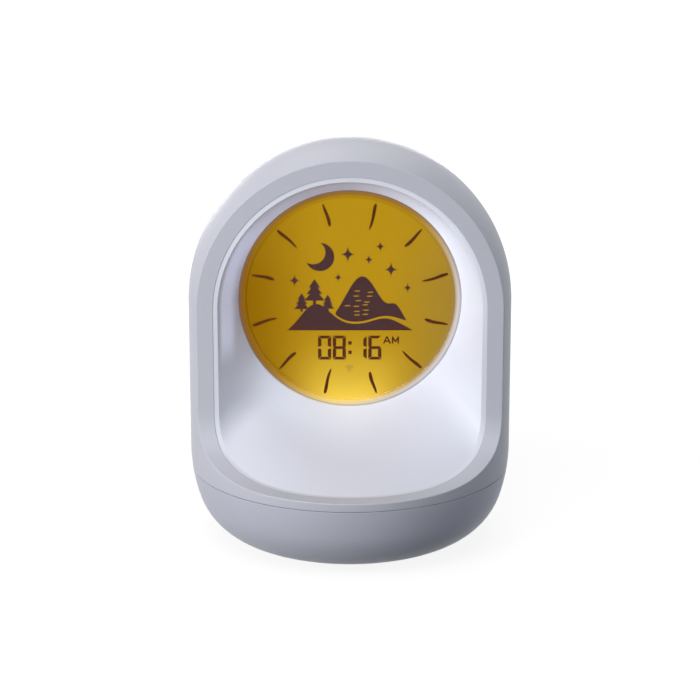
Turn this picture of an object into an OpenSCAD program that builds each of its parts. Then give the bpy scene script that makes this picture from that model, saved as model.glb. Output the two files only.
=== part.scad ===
// Bedside clock with a night light: a round body under a dome, a scooped front
// with a lit round dial, push buttons and a speaker grille at the back.
// X runs to the right, Y to the back and Z up. The origin is on the table
// under the middle of the body. All sizes are in millimetres.

/* [Body] */
// Radius of the round body
body_r = 60; // [58:0.5:64]
// Height of the middle of the dome, which is also the middle of the dial
dome_z = 92.5; // [88:0.5:104]
// Radius of the curve that turns the side under the body
heel_r = 24.4; // [22:0.2:27]
// Turn of the belly, in degrees, before the heel curve starts
heel_turn = 18; // [17:0.5:20]
// Wall of the moulded shells
wall = 2.4; // [2:0.1:2.8]
// Height of the joint between the base and the upper shells
part_z = 28.8; // [28.4:0.1:29.2]
// Open width of the groove along that joint
part_groove = 0.4; // [0.2:0.1:0.6]
// Distance of the joint between the front and rear shells behind the axis
seam_y = 20; // [18:0.5:22]
// Clearance between a moulded part and the one that it fits into
fit = 0.15; // [0.1:0.05:0.2]

/* [Front opening] */
// Distance of the flat front rim ahead of the axis
front_y = 21.3; // [20.5:0.1:22.5]
// Width of the rim, measured square to the outer skin
rim_w = 5.7; // [5.3:0.1:6.2]
// Thickness of the rim
rim_t = 2.2; // [1.8:0.1:2.4]
// Radius of the bend where the upright rim starts to run forward
bend_r = 15.8; // [14:0.2:18]
// Turn of that bend in degrees
bend_turn = 60; // [56:1:64]
// Radius of the long curve from the bend to the toe
flare_r = 55; // [50:1:60]
// Fall of the rim towards the toe in degrees
toe_slope = 4.3; // [3:0.1:6]
// Height of the rim at the toe
toe_z = 32.1; // [31.8:0.1:33]

/* [Scoop] */
// Width of the pale lip inside the rim
lip_w = 1.4; // [1:0.1:1.8]
// Step from the rim down to the lip
lip_drop = 0.3; // [0.1:0.1:0.6]
// Thickness of the scoop
scoop_t = 2; // [1.6:0.1:2.2]
// Clearance between the scoop's flange and the back of the rim
scoop_gap = 0.35; // [0.35:0.05:0.5]

/* [Dial] */
// Width of the front between the lens and the outer skin
dial_inset = 20.9; // [20.5:0.1:22.5]
// Thickness of the dial lens
lens_t = 2; // [1.6:0.1:2.4]
// Distance of the lens face ahead of the axis
lens_y = 3; // [2:0.1:4]
// Width of the clear night-light ring round the lens
ring_w = 2.25; // [2:0.05:2.6]
// Thickness of the printed dial film
film_t = 0.3; // [0.2:0.1:0.4]
// Thickness of the light guide behind the film
guide_t = 2.5; // [2:0.1:3]
// Height of the middle of the digits above the lens's lower edge
digit_rise = 20.6; // [19:0.1:22]
// Width and height of the digit block
digit_size = [30, 12];
// Thickness of the printed circuit boards
board_t = 1.6; // [1:0.1:2]

/* [Back panel] */
// Width of the button panel
panel_w = 42; // [38:1:44]
// Distance of the panel's lower edge above the joint with the base
panel_rise = 4; // [3:0.5:5]
// Distance of the panel's upper edge below the speaker's seat
panel_gap = 4; // [3.6:0.2:5]
// Depth of the panel's face inside the outer skin
panel_inset = 6; // [5:0.5:7]
// Thickness of the button panel
panel_t = 2; // [1.6:0.1:2.4]
// Radius of a push button
button_r = 4.2; // [3.6:0.1:4.6]
// Height of a button above the panel
button_proud = 1.6; // [1.2:0.1:2]
// Travel of a button
button_travel = 0.8; // [0.5:0.1:1]
// Clearance round a button
button_gap = 0.35; // [0.25:0.05:0.5]
// Distance between the two rows of buttons
row_pitch = 12; // [11.6:0.1:12.6]
// Distance of the power socket below the lower row
socket_pitch = 11; // [10.6:0.1:11.4]

/* [Speaker] */
// Radius of the speaker grille
grille_r = 20; // [18:0.5:21]
// Height of the speaker above the centre of the dome
speaker_rise = 11; // [10:0.5:12]
// Radius of a grille hole
grille_hole_r = 1.1; // [0.8:0.1:1.3]
// Distance between grille holes
grille_pitch = 4.2; // [3.6:0.1:4.6]
// Depth of the speaker's mounting face inside the dome's inner skin, at its upper ear
speaker_inset = 7.4; // [7:0.2:9]

/* [Feet and fasteners] */
// Height of the rubber feet below the base
foot_proud = 1.2; // [0.8:0.1:1.6]
// Radius of a rubber foot
foot_r = 6; // [5:0.5:7]
// Distance of the feet from the axis
foot_circle_r = 25; // [22:0.5:26]
// Radius of a case screw's thread
screw_r = 1.4; // [1.2:0.1:1.6]
// Radius of a case screw's head
screw_head_r = 2.7; // [2.4:0.1:2.9]
// Radius of a screw boss
boss_r = 3.5; // [3.3:0.1:3.9]

/* [Hidden] */

// Reach of a cut that has to pass the whole body
far = 200;
// Fineness of large and of small round shapes
fine = 96;
small = 32;

// ---- Heights and places worked out from the sizes above
body_h = dome_z + body_r;
belly_z = foot_proud + heel_r + (body_r - heel_r) * sin(heel_turn);
heel_mid = [(body_r - heel_r) * cos(heel_turn), foot_proud + heel_r];
upper_z = part_z + part_groove / 2;
base_top_z = part_z - part_groove / 2;

// ---- Rim curve, seen from the side: upright, bend, long curve, straight toe
flare_end = [sin(toe_slope), -cos(toe_slope)];
flare_mid_y = -front_y - bend_r - (flare_r - bend_r) * cos(bend_turn);
flare_end_y = flare_mid_y + flare_r * sin(toe_slope);
bend_z = toe_z + (body_r + flare_end_y) * tan(toe_slope)
    + flare_r * cos(toe_slope) - (flare_r - bend_r) * sin(bend_turn);
bend_mid = [-front_y - bend_r, bend_z];
flare_mid = [flare_mid_y, bend_z + (flare_r - bend_r) * sin(bend_turn)];

// ---- Dial stack, from the lens face towards the back
lens_r = body_r - dial_inset;
digit_drop = lens_r - digit_rise;
digit_z = dome_z - digit_drop;
lens_back = -lens_y + lens_t;
film_back = lens_back + film_t;
guide_back = film_back + guide_t;
ring_r = lens_r + ring_w;
ring_flange_r = ring_r + 2.6;
ring_back = lens_back + 2;
frame_wall = 2;
frame_r = ring_flange_r;
web_front = guide_back + 2.7;
web_t = 1.5;
web_back = web_front + web_t;
guide_r = lens_r - 1.1;
collar_r = guide_r - 1.5;
frame_back = web_back + board_t + 1.5;
dial_board_r = frame_r - frame_wall - fit;
night_board_t = 1.2;
night_wire_x = -6;

// ---- Frame ears and the bosses that they are screwed to
ear_r = frame_r + boss_r + 2;
ear_t = 3;
ear_front = frame_back - ear_t - 0.5;
ear_boss_h = 8;
ear_angles = [45, 135, 225, 315];

// ---- Case screws
pilot_r = screw_r;
clear_r = screw_r + 0.25;
well_r = screw_head_r + 0.4;
head_h = 2;
low_boss = [body_r - 28, upper_z + 12.4];
high_boss = [22, dome_z + body_r - 20];
seam_bosses = [
    low_boss, [-low_boss.x, low_boss.y],
    high_boss, [-high_boss.x, high_boss.y]
];
base_post_r = body_r - wall - boss_r - 6;
front_post_angle = 14;
rear_post_angle = 50;
base_posts = [
    [base_post_r * cos(front_post_angle), -base_post_r * sin(front_post_angle)],
    [-base_post_r * cos(front_post_angle), -base_post_r * sin(front_post_angle)],
    [base_post_r * cos(rear_post_angle), base_post_r * sin(rear_post_angle)],
    [-base_post_r * cos(rear_post_angle), base_post_r * sin(rear_post_angle)]
];
tongue_t = 1.3;
tongue_h = 2.5;

// ---- Speaker: its screw ears, the seat that carries them and the face of that seat
speaker_z = dome_z + speaker_rise;
speaker_seat_r = grille_r + 0.5;
seat_wall = 2;
speaker_ear_r = speaker_seat_r + 4;
speaker_y = sqrt(pow(body_r - wall, 2) - pow(speaker_rise + speaker_ear_r, 2)) - speaker_inset;

// ---- Button panel, between the base and the speaker
panel_top = speaker_z - speaker_seat_r - seat_wall - panel_gap;
panel_bottom = upper_z + panel_rise;
panel_h = panel_top - panel_bottom;
panel_z = (panel_top + panel_bottom) / 2;
panel_y = body_r - panel_inset;
pocket_r = 5;

// ---- Buttons across and up, and the power socket; the group is centred on the panel
button_flange_r = button_r + 1.2;
button_pitch = 2 * button_flange_r + 0.6;
low_x = 0.7 * button_pitch;
dish_size = [16, 9];
high_z = panel_z + (row_pitch + socket_pitch + dish_size.y / 2 - button_flange_r) / 2;
low_z = high_z - row_pitch;
socket_z = low_z - socket_pitch;
button_places = [
    [button_pitch, high_z], [0, high_z], [-button_pitch, high_z],
    [low_x, low_z], [-low_x, low_z]
];
button_flange_t = 0.8;
switch_h = 3.4;
plunger_r = 1.5;
key_board_back = panel_y - panel_t - 8;
socket_w = 9;
socket_h = 3.2;
key_board_w = panel_w - 5;
key_board_h = panel_h - 5;
key_post_r = 2.3;
key_post_x = low_x + button_flange_r + 0.3 + key_post_r;
key_posts = [for (x = [-1, 1], z = [low_z, socket_z]) [x * key_post_x, z]];

// ---- Main board, flat in the base
plate_size = [30, 16];
floor_z = foot_proud + wall;
main_board_z = floor_z + 7.4;
main_board_w = 76;
main_board_d = 58;
main_top = main_board_z + board_t;
board_x = main_board_w / 2;
board_y = main_board_d / 2;
standoff_x = board_x - 6;
standoff_y = board_y - 5;

// ================= Section of the body =================

// Everything above the line from the heel's centre through the heel's start
module above_heel() {
    reach = 2 * body_r;
    polygon([
        [0, heel_mid.y],
        heel_mid,
        [heel_mid.x + reach * cos(heel_turn), heel_mid.y - reach * sin(heel_turn)],
        [heel_mid.x + reach, belly_z],
        [0, belly_z]
    ]);
}

// Right half of the body's section, drawn in by inset from the outer skin
module body_section(inset) {
    r = body_r - inset;
    intersection() {
        union() {
            translate([0, dome_z]) circle(r, $fn = fine);
            translate([0, belly_z]) square([r, dome_z - belly_z]);
            intersection() {
                translate([0, belly_z]) circle(r, $fn = fine);
                above_heel();
            }
            intersection() {
                translate(heel_mid) circle(heel_r - inset, $fn = fine);
                translate([heel_mid.x, 0]) square([body_r, belly_z]);
            }
            translate([0, foot_proud + inset]) square([heel_mid.x, belly_z - foot_proud - inset]);
        }
        square([body_r, body_h]);
    }
}

module body_solid(inset) {
    rotate_extrude($fn = fine) body_section(inset);
}

// Part of the body's wall between two depths below the outer skin
module body_wall(outer, inner) {
    difference() {
        body_solid(outer);
        body_solid(inner);
    }
}

// ================= Front cut =================

// Points of an arc in a side view, between two angles below the level
function arc_points(mid, r, from, to, steps) = [
    for (i = [0:steps])
        let (a = from + (to - from) * i / steps)
        mid + r * [cos(a), -sin(a)]
];

// Side view of what is cut from the front, moved in behind the rim by back
module cut_section(back) {
    bend = arc_points(bend_mid, bend_r + back, 0, bend_turn, 12);
    flare = arc_points(flare_mid, flare_r + back, bend_turn, 90 - toe_slope, 8);
    toe = flare[8] + far * [-cos(toe_slope), -sin(toe_slope)];
    polygon(concat(
        [[toe.x, bend_z + far], [back - front_y, bend_z + far]],
        bend,
        [for (i = [1:8]) flare[i]],
        [toe]
    ));
}

module front_cut(back) {
    rotate([90, 0, 90])
        linear_extrude(2 * far, center = true) cut_section(back);
}

// Cut depth behind the axis line at height z; negative is towards the front
function cut_y(z, back) =
    let (bend_end = bend_z - (bend_r + back) * sin(bend_turn))
    let (flare_z = flare_mid.y + (flare_r + back) * flare_end.y)
    z >= bend_z ? back - front_y
    : z >= bend_end ? bend_mid.x + sqrt(pow(bend_r + back, 2) - pow(bend_z - z, 2))
    : z >= flare_z ? flare_mid.x + sqrt(pow(flare_r + back, 2) - pow(flare_mid.y - z, 2))
    : flare_mid.x + (flare_r + back) * flare_end.x - (flare_z - z) / tan(toe_slope);

// Square of the body's radius at height z
function body_rr(z, inset) =
    let (over = max(z - dome_z, belly_z - z, 0))
    pow(body_r - inset, 2) - over * over;

// Distance from the dial's axis to the edge of the opening, looking along angle a
function edge_reach(a, inset, back, near = 0, away = 2 * body_r, turns = 26) =
    let (s = (near + away) / 2)
    let (z = dome_z + s * sin(a))
    turns == 0 ? s
    : pow(s * cos(a), 2) + pow(cut_y(z, back), 2) > body_rr(z, inset)
        ? edge_reach(a, inset, back, near, s, turns - 1)
        : edge_reach(a, inset, back, s, away, turns - 1);

function edge_point(a, inset, back) =
    let (s = edge_reach(a, inset, back))
    let (z = dome_z + s * sin(a))
    [s * cos(a), cut_y(z, back), z];

function dial_point(a, r, y) = [r * cos(a), y, dome_z + r * sin(a)];

function mix(a, b, t) = a * (1 - t) + b * t;

// ================= Small shapes =================

// Upright disc on the dial's axis, from y1 to y2
module disc(r, y1, y2, edges = fine) {
    translate([0, y2, dome_z]) rotate([90, 0, 0]) cylinder(r = r, h = y2 - y1, $fn = edges);
}

// Round bar along Y at a place across and up
module bar(place, r, y1, y2, edges = small) {
    translate([place[0], y2, place[1]]) rotate([90, 0, 0]) cylinder(r = r, h = y2 - y1, $fn = edges);
}

// Round post along Z
module post(place, r, z1, z2, edges = small) {
    translate([place[0], place[1], z1]) cylinder(r = r, h = z2 - z1, $fn = edges);
}

// Block between two corners
module block(low, high) {
    translate(low) cube(high - low);
}

// Rectangle with round corners, centred
module round_rect(w, h, r) {
    square([w - 2 * r, h], center = true);
    square([w, h - 2 * r], center = true);
    for (x = [-1, 1], y = [-1, 1])
        translate([x * (w / 2 - r), y * (h / 2 - r)]) circle(r, $fn = small);
}

// The same as a plate that stands across Y
module upright_plate(w, h, r, y1, y2, z) {
    translate([0, y2, z]) rotate([90, 0, 0]) linear_extrude(y2 - y1) round_rect(w, h, r);
}

// Pan-head screw with a cross recess; the head's top is at the origin, facing +Z
module screw(shaft, head, head_t, total) {
    difference() {
        translate([0, 0, -head_t]) cylinder(r = head, h = head_t, $fn = small);
        for (turn = [0, 90])
            rotate([0, 0, turn])
                translate([-head * 0.6, -head * 0.12, -head_t * 0.55])
                    cube([head * 1.2, head * 0.24, head_t]);
    }
    translate([0, 0, -total]) cylinder(r = shaft, h = total - head_t, $fn = small);
}

// Screw that is driven towards the front, its head's top at y
module screw_to_front(place, y, shaft, head, head_t, total) {
    translate([place[0], y, place[1]]) rotate([-90, 0, 0]) screw(shaft, head, head_t, total);
}

// Screw that is driven towards the back, its head's top at y
module screw_to_back(place, y, shaft, head, head_t, total) {
    translate([place[0], y, place[1]]) rotate([90, 0, 0]) screw(shaft, head, head_t, total);
}

// Round wire through points, as one closed tube
module wire(points, r) {
    sides = 8;
    last = len(points) - 1;
    rings = [
        for (i = [0:last])
            let (along = points[min(i + 1, last)] - points[max(i - 1, 0)])
            let (dir = along / norm(along))
            let (across = cross(dir, abs(dir.x) < 0.9 ? [1, 0, 0] : [0, 1, 0]))
            let (u = across / norm(across))
            let (v = cross(dir, u))
            for (k = [0:sides - 1])
                points[i] + r * (cos(360 * k / sides) * u + sin(360 * k / sides) * v)
    ];
    skin = [
        for (i = [0:last - 1], k = [0:sides - 1])
            let (n = (k + 1) % sides)
            [i * sides + k, (i + 1) * sides + k, (i + 1) * sides + n, i * sides + n]
    ];
    ends = [
        [for (k = [0:sides - 1]) k],
        [for (k = [0:sides - 1]) last * sides + sides - 1 - k]
    ];
    polyhedron(rings, concat(skin, ends));
}

// Points of a smooth curve from a to b that leaves along da and arrives along db
function curve(a, da, db, b, steps = 12) = [
    for (i = [0:steps])
        let (t = i / steps)
        let (s = 1 - t)
        s * s * s * a + 3 * s * s * t * (a + da) + 3 * s * t * t * (b + db) + t * t * t * b
];

// ================= Shells =================

// Boss on a case screw's axis, tied to the skin by a rib
module seam_boss(place, y1, y2, rib1, rib2) {
    side = place[0] > 0 ? 1 : -1;
    top = place[1] > dome_z;
    intersection() {
        body_solid(wall / 2);
        union() {
            bar(place, boss_r, y1, y2);
            if (top)
                block([place[0] - 1, rib1, place[1]], [place[0] + 1, rib2, body_h]);
            else
                block([min(place[0], side * body_r), rib1, place[1] - 1],
                    [max(place[0], side * body_r), rib2, place[1] + 1]);
        }
    }
}

// Boss for a base screw, tied to the skin above the base's tongue
module base_boss(place) {
    angle = atan2(place[1], place[0]);
    top = upper_z + 9;
    intersection() {
        body_solid(wall / 2);
        union() {
            post(place, boss_r, upper_z, top);
            rotate([0, 0, angle])
                block([base_post_r, -1, upper_z + tongue_h + 0.8], [body_r, 1, top]);
        }
    }
}

module front_housing() color("#b9bac8") {
    difference() {
        union() {
            difference() {
                body_solid(0);
                front_cut(0);
                body_solid(rim_w);
                difference() {
                    body_solid(wall);
                    front_cut(rim_t);
                }
            }
            for (place = seam_bosses)
                seam_boss(place, seam_y - 10, seam_y, seam_y - 10, seam_y - 3.4);
            for (place = [base_posts[0], base_posts[1]])
                base_boss(place);
            for (a = ear_angles) {
                place = [ear_r * cos(a), dome_z + ear_r * sin(a)];
                side = place[0] > 0 ? 1 : -1;
                intersection() {
                    body_solid(wall / 2);
                    union() {
                        bar(place, boss_r, ear_front - ear_boss_h, ear_front);
                        block([min(place[0], side * body_r), ear_front - ear_boss_h, place[1] - 1],
                            [max(place[0], side * body_r), ear_front, place[1] + 1]);
                    }
                }
            }
        }
        block([-far, seam_y, -far], [far, far, far]);
        block([-far, -far, -far], [far, far, upper_z]);
        for (place = seam_bosses)
            bar(place, pilot_r, seam_y - 8, seam_y + 1);
        for (place = [base_posts[0], base_posts[1]])
            post(place, pilot_r, upper_z - 1, upper_z + 7.5);
        for (a = ear_angles)
            bar([ear_r * cos(a), dome_z + ear_r * sin(a)], pilot_r, ear_front - ear_boss_h + 0.8,
                ear_front + 1);
    }
}

// Ring that carries the speaker, and its three screw bosses
speaker_ears = [
    for (a = [90, 210, 330]) [speaker_ear_r * cos(a), speaker_z + speaker_ear_r * sin(a)]
];
gasket_t = 1;
seat_y = speaker_y + gasket_t;
grille_top = 0.5;
grille_t = 1.2;

module rear_cover() color("#b4b5c3") {
    difference() {
        union() {
            difference() {
                body_wall(0, wall);
                upright_plate(panel_w + 2 * fit, panel_h + 2 * fit, pocket_r, seam_y, far, panel_z);
                bar([0, speaker_z], grille_r, seam_y, far, fine);
            }
            // tongue that fits inside the front shell
            intersection() {
                body_wall(wall + fit, wall + fit + tongue_t);
                block([-far, seam_y - tongue_h, upper_z + tongue_h + 2], [far, seam_y + 2, far]);
            }
            intersection() {
                body_wall(wall - 0.2, wall + fit + tongue_t);
                block([-far, seam_y, upper_z + tongue_h + 2], [far, seam_y + 2, far]);
            }
            for (place = seam_bosses)
                seam_boss(place, seam_y, body_r, seam_y + 2, body_r);
            for (place = [base_posts[2], base_posts[3]])
                base_boss(place);
            // box round the button panel, with the ledge that it rests on
            intersection() {
                body_solid(wall / 2);
                difference() {
                    upright_plate(panel_w + 2 * wall, panel_h + 2 * wall, pocket_r + wall,
                        panel_y - panel_t - wall, body_r, panel_z);
                    upright_plate(panel_w + 2 * fit, panel_h + 2 * fit, pocket_r,
                        panel_y - panel_t, far, panel_z);
                    upright_plate(panel_w - 3, panel_h - 3, pocket_r - 1.5,
                        seam_y, far, panel_z);
                }
            }
            // ring behind the grille, and the seat of the speaker
            intersection() {
                body_wall(grille_top + grille_t, wall + 1.2);
                difference() {
                    bar([0, speaker_z], grille_r + 2, seam_y, far, fine);
                    bar([0, speaker_z], grille_r - 1.5, seam_y, far, fine);
                }
            }
            intersection() {
                body_solid(wall / 2);
                difference() {
                    union() {
                        bar([0, speaker_z], speaker_seat_r + seat_wall, seat_y, far, fine);
                        for (place = speaker_ears)
                            bar(place, boss_r - 0.5, seat_y, far);
                    }
                    bar([0, speaker_z], speaker_seat_r, seam_y, far, fine);
                }
            }
        }
        difference() {
            block([-far, -far, -far], [far, seam_y, far]);
            body_wall(wall + fit, wall + fit + tongue_t);
        }
        block([-far, -far, -far], [far, far, upper_z]);
        for (place = seam_bosses) {
            bar(place, clear_r, seam_y - 1, far);
            bar(place, well_r, seam_y + 3, far);
        }
        for (place = [base_posts[2], base_posts[3]])
            post(place, pilot_r, upper_z - 1, upper_z + 7.5);
        for (place = speaker_ears)
            bar(place, 1, seat_y - 1, seat_y + 5);
    }
}

module base_cap() color("#8f909d") {
    difference() {
        union() {
            body_wall(0, wall);
            // tongue inside the upper shells, clear of the scoop at the front
            intersection() {
                body_wall(wall + fit, wall + fit + tongue_t);
                difference() {
                    block([-far, -5, base_top_z - 2], [far, far, upper_z + tongue_h]);
                    block([-panel_w / 2 - wall - 1, 0, base_top_z], [panel_w / 2 + wall + 1, far, far]);
                }
            }
            intersection() {
                body_wall(wall - 0.2, wall + fit + tongue_t);
                block([-far, -5, base_top_z - 3], [far, far, base_top_z]);
            }
            intersection() {
                body_solid(wall / 2);
                union() {
                    for (place = base_posts)
                        post(place, boss_r + 0.5, 0, upper_z);
                    for (x = [-1, 1], y = [-1, 1])
                        post([x * standoff_x, y * standoff_y], 3, 0, main_board_z);
                }
            }
        }
        difference() {
            block([-far, -far, base_top_z], [far, far, far]);
            difference() {
                body_solid(wall + fit);
                body_solid(wall + fit + tongue_t);
            }
            for (place = base_posts)
                post(place, boss_r + 0.5, 0, upper_z);
        }
        block([-far, -far, upper_z + tongue_h], [far, far, far]);
        difference() {
            block([-far, -far, base_top_z], [far, -5, far]);
            for (place = base_posts)
                post(place, boss_r + 0.5, 0, upper_z);
        }
        for (place = base_posts) {
            post(place, clear_r, -1, far);
            post(place, well_r, -1, upper_z - 7);
        }
        for (x = [-1, 1], y = [-1, 1])
            post([x * standoff_x, y * standoff_y], 1, main_board_z - 5, far);
        for (a = ear_angles)
            post([foot_circle_r * cos(a), foot_circle_r * sin(a)], foot_r + fit,
                -1, foot_proud + 0.8);
        // shallow bare recess under the base
        linear_extrude(foot_proud + 0.3) round_rect(plate_size.x, plate_size.y, 2);
    }
}

module rubber_feet() color("#3a3b40") {
    for (a = ear_angles)
        translate([foot_circle_r * cos(a), foot_circle_r * sin(a), 0])
            rotate_extrude($fn = small) {
                translate([0, 0.6]) square([foot_r, foot_proud + 0.2]);
                square([foot_r - 0.6, 1]);
                translate([foot_r - 0.6, 0.6]) circle(0.6, $fn = small);
            }
}

// ================= Scoop =================

// Closed section of the scoop where it is cut along angle a from the dial's axis
function scoop_section(a) =
    let (rows = 5)
    let (lip = edge_point(a, rim_w + lip_w, lip_drop))
    let (inner = dial_point(a, ring_r + fit, -lens_y))
    let (rear = dial_point(a, ring_r + fit + scoop_t, -lens_y + scoop_t))
    let (under = edge_point(a, rim_w + fit + 1, rim_t + scoop_t))
    let (flange = wall + 0.8)
    let (seat = rim_t + scoop_gap)
    concat(
        [edge_point(a, rim_w + fit, lip_drop)],
        [for (i = [0:rows]) mix(lip, inner, i / rows)],
        [dial_point(a, ring_r + fit, -lens_y + scoop_t)],
        [for (i = [0:rows]) mix(rear, under, i / rows)],
        [edge_point(a, flange, rim_t + scoop_t)],
        [edge_point(a, flange, seat)],
        [edge_point(a, rim_w + fit, seat)]
    );

module scoop_panel() color("#e6e6f0") {
    turns = 120;
    sections = [for (i = [0:turns - 1]) scoop_section(360 * i / turns)];
    count = len(sections[0]);
    points = [for (section = sections) for (p = section) p];
    faces = [
        for (i = [0:turns - 1], k = [0:count - 1])
            let (j = (i + 1) % turns)
            let (n = (k + 1) % count)
            each [
                [i * count + k, j * count + n, j * count + k],
                [i * count + k, i * count + n, j * count + n]
            ]
    ];
    polyhedron(points, faces);
}

// ================= Dial =================

module display_lens() color("#c9a02c") {
    disc(lens_r, -lens_y, lens_back);
}

module night_light_ring() color("#e6cfa8") {
    difference() {
        union() {
            disc(ring_r, -lens_y, ring_back);
            disc(ring_flange_r, -lens_y + scoop_t, ring_back);
        }
        disc(lens_r + fit / 2, -far, lens_back);
        disc(guide_r + fit, -far, far);
    }
}

module dial_film() color("#d8a92e") {
    disc(guide_r, lens_back, film_back);
}

module digit_hole(grow, y1, y2) {
    block([-digit_size.x / 2 - grow, y1, digit_z - digit_size.y / 2 - grow],
        [digit_size.x / 2 + grow, y2, digit_z + digit_size.y / 2 + grow]);
}

module light_guide() color("#f4efe0") {
    difference() {
        disc(guide_r, film_back, guide_back);
        digit_hole(fit, -far, far);
    }
}

// Places of the backlight diodes: two rings, the digits left free
led_ring_r = collar_r - 8.5;
led_w = 3;
led_h = 1.2;
led_places = concat(
    [for (a = [22.5:45:360]) [cos(a), sin(a)] * led_ring_r / 2 + [0, digit_drop / 2]],
    [for (a = [18:36:360]) [cos(a), sin(a)] * led_ring_r]
);
led_clear = [
    for (p = led_places)
        if (abs(p.y + digit_drop) > digit_size.y / 2 + 4 || abs(p.x) > digit_size.x / 2 + 4) p
];

module reflector_sheet() color("#f7f7f7") {
    difference() {
        disc(collar_r - fit - 4.5, web_back - 0.4, web_back);
        digit_hole(fit, -far, far);
        for (p = led_clear)
            block([p[0] - led_w / 2 - 0.2, -far, dome_z + p[1] - led_w / 2 - 0.2],
                [p[0] + led_w / 2 + 0.2, far, dome_z + p[1] + led_w / 2 + 0.2]);
    }
}

module digit_module() color("#2b2a2e") {
    digit_hole(0, film_back, web_back);
}

module backlight_leds() color("#f2e2a0") {
    for (p = led_clear)
        block([p[0] - led_w / 2, web_back - led_h, dome_z + p[1] - led_w / 2],
            [p[0] + led_w / 2, web_back, dome_z + p[1] + led_w / 2]);
}

board_screw_r = collar_r - 2;
board_screw_angles = ear_angles;

module display_frame() color("#d9d9df") {
    difference() {
        union() {
            disc(frame_r, ring_back, frame_back);
            for (a = ear_angles)
                intersection() {
                    translate([0, ear_front + ear_t, dome_z])
                        rotate([90, 0, 0])
                            rotate([0, 0, a])
                                linear_extrude(ear_t) {
                                    translate([0, -boss_r]) square([ear_r, 2 * boss_r]);
                                    translate([ear_r, 0]) circle(boss_r, $fn = small);
                                }
                    body_solid(wall + 1);
                }
        }
        difference() {
            disc(frame_r - frame_wall, -far, far);
            disc(far, web_front, web_back);
            difference() {
                disc(collar_r + 1.5, guide_back, web_back);
                disc(collar_r, -far, far);
            }
            for (a = board_screw_angles)
                bar([board_screw_r * cos(a), dome_z + board_screw_r * sin(a)], 2.2,
                    guide_back, web_back);
        }
        difference() {
            disc(collar_r, -far, far);
            for (a = board_screw_angles)
                bar([board_screw_r * cos(a), dome_z + board_screw_r * sin(a)], 2.2,
                    guide_back, web_back);
        }
        for (a = board_screw_angles)
            bar([board_screw_r * cos(a), dome_z + board_screw_r * sin(a)], 1,
                web_back - 4, far);
        for (a = ear_angles)
            bar([ear_r * cos(a), dome_z + ear_r * sin(a)], clear_r, -far, far);
        // notches for the wires of the night light and for the dial's ribbon
        block([plugs[0][0] - 8, web_back + board_t, 0],
            [plugs[0][0] + 8, far, dome_z - collar_r - 1.5]);
        block([night_wire_x - 3, guide_back + 1, 0],
            [night_wire_x + 3, web_front, dome_z - collar_r - 1.5]);
    }
}

module display_board() color("#2f6b4a") {
    difference() {
        disc(dial_board_r, web_back, web_back + board_t);
        for (a = board_screw_angles)
            bar([board_screw_r * cos(a), dome_z + board_screw_r * sin(a)], 1.1, -far, far);
    }
}

module night_light_board() color("#2f6b4a") {
    intersection() {
        difference() {
            disc(dial_board_r, web_front - night_board_t, web_front);
            disc(guide_r + 0.3, -far, far);
        }
        block([-far, -far, -far], [far, far, dome_z + 6]);
    }
}

night_led_r = (dial_board_r + guide_r) / 2;
night_led_w = 1.8;

module night_light_leds() color("#fdfdf2") {
    for (i = [0:12])
        translate([0, web_front - night_board_t, dome_z])
            rotate([0, -(180 + 180 * i / 12), 0])
                translate([night_led_r - night_led_w / 2, -1, -night_led_w / 2])
                    cube([night_led_w, 1, night_led_w]);
}

// ================= Back panel and buttons =================

module rear_panel() color("#a2a3b0") {
    difference() {
        union() {
            upright_plate(panel_w, panel_h, pocket_r - fit, panel_y - panel_t, panel_y, panel_z);
            for (place = key_posts)
                bar(place, key_post_r, key_board_back, panel_y - 1);
        }
        for (place = button_places)
            bar(place, button_r + button_gap, 0, far);
        upright_plate(socket_w + 0.4, socket_h + 0.4, (socket_h + 0.4) / 2 - 0.01, 0, far, socket_z);
        // shallow dish round the socket
        upright_plate(dish_size.x, dish_size.y, 3, panel_y - 0.8, far, socket_z);
        for (place = key_posts)
            bar(place, 0.9, 0, key_board_back + 5);
    }
}

module button(i) {
    color("#c9cad6") {
        place = button_places[i];
        // soft edge round the pressed face
        translate([place[0], panel_y + button_proud, place[1]])
            rotate([90, 0, 0])
                rotate_extrude($fn = small) {
                    square([button_r - 0.8, 2]);
                    translate([0, 0.8]) square([button_r, button_proud + panel_t - 0.8]);
                    translate([button_r - 0.8, 0.8]) circle(0.8, $fn = small);
                }
        bar(place, button_flange_r, panel_y - panel_t - button_flange_t, panel_y - panel_t);
        bar(place, plunger_r, key_board_back + switch_h + 1, panel_y - panel_t - 0.2);
    }
}

module plunger(i) {
    color("#26262a")
        bar(button_places[i], plunger_r, key_board_back + switch_h - 1.4, key_board_back + switch_h + 1);
}

module light_button() button(0);
module alarm_button() button(1);
module clock_button() button(2);
module minus_button() button(3);
module plus_button() button(4);
module light_plunger() plunger(0);
module alarm_plunger() plunger(1);
module clock_plunger() plunger(2);
module minus_plunger() plunger(3);
module plus_plunger() plunger(4);

module switch_bodies() color("#3c3c42") {
    side = 6;
    for (i = [0:4]) {
        p = button_places[i];
        difference() {
            block([p[0] - side / 2, key_board_back, p[1] - side / 2],
                [p[0] + side / 2, key_board_back + switch_h, p[1] + side / 2]);
            bar(p, plunger_r + 0.1, key_board_back + switch_h - 1.6 - button_travel, far);
        }
    }
}

module key_board() color("#2f6b4a") {
    difference() {
        upright_plate(key_board_w, key_board_h, 2, key_board_back - board_t, key_board_back, panel_z);
        for (place = key_posts)
            bar(place, 1, 0, far);
    }
}

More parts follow.
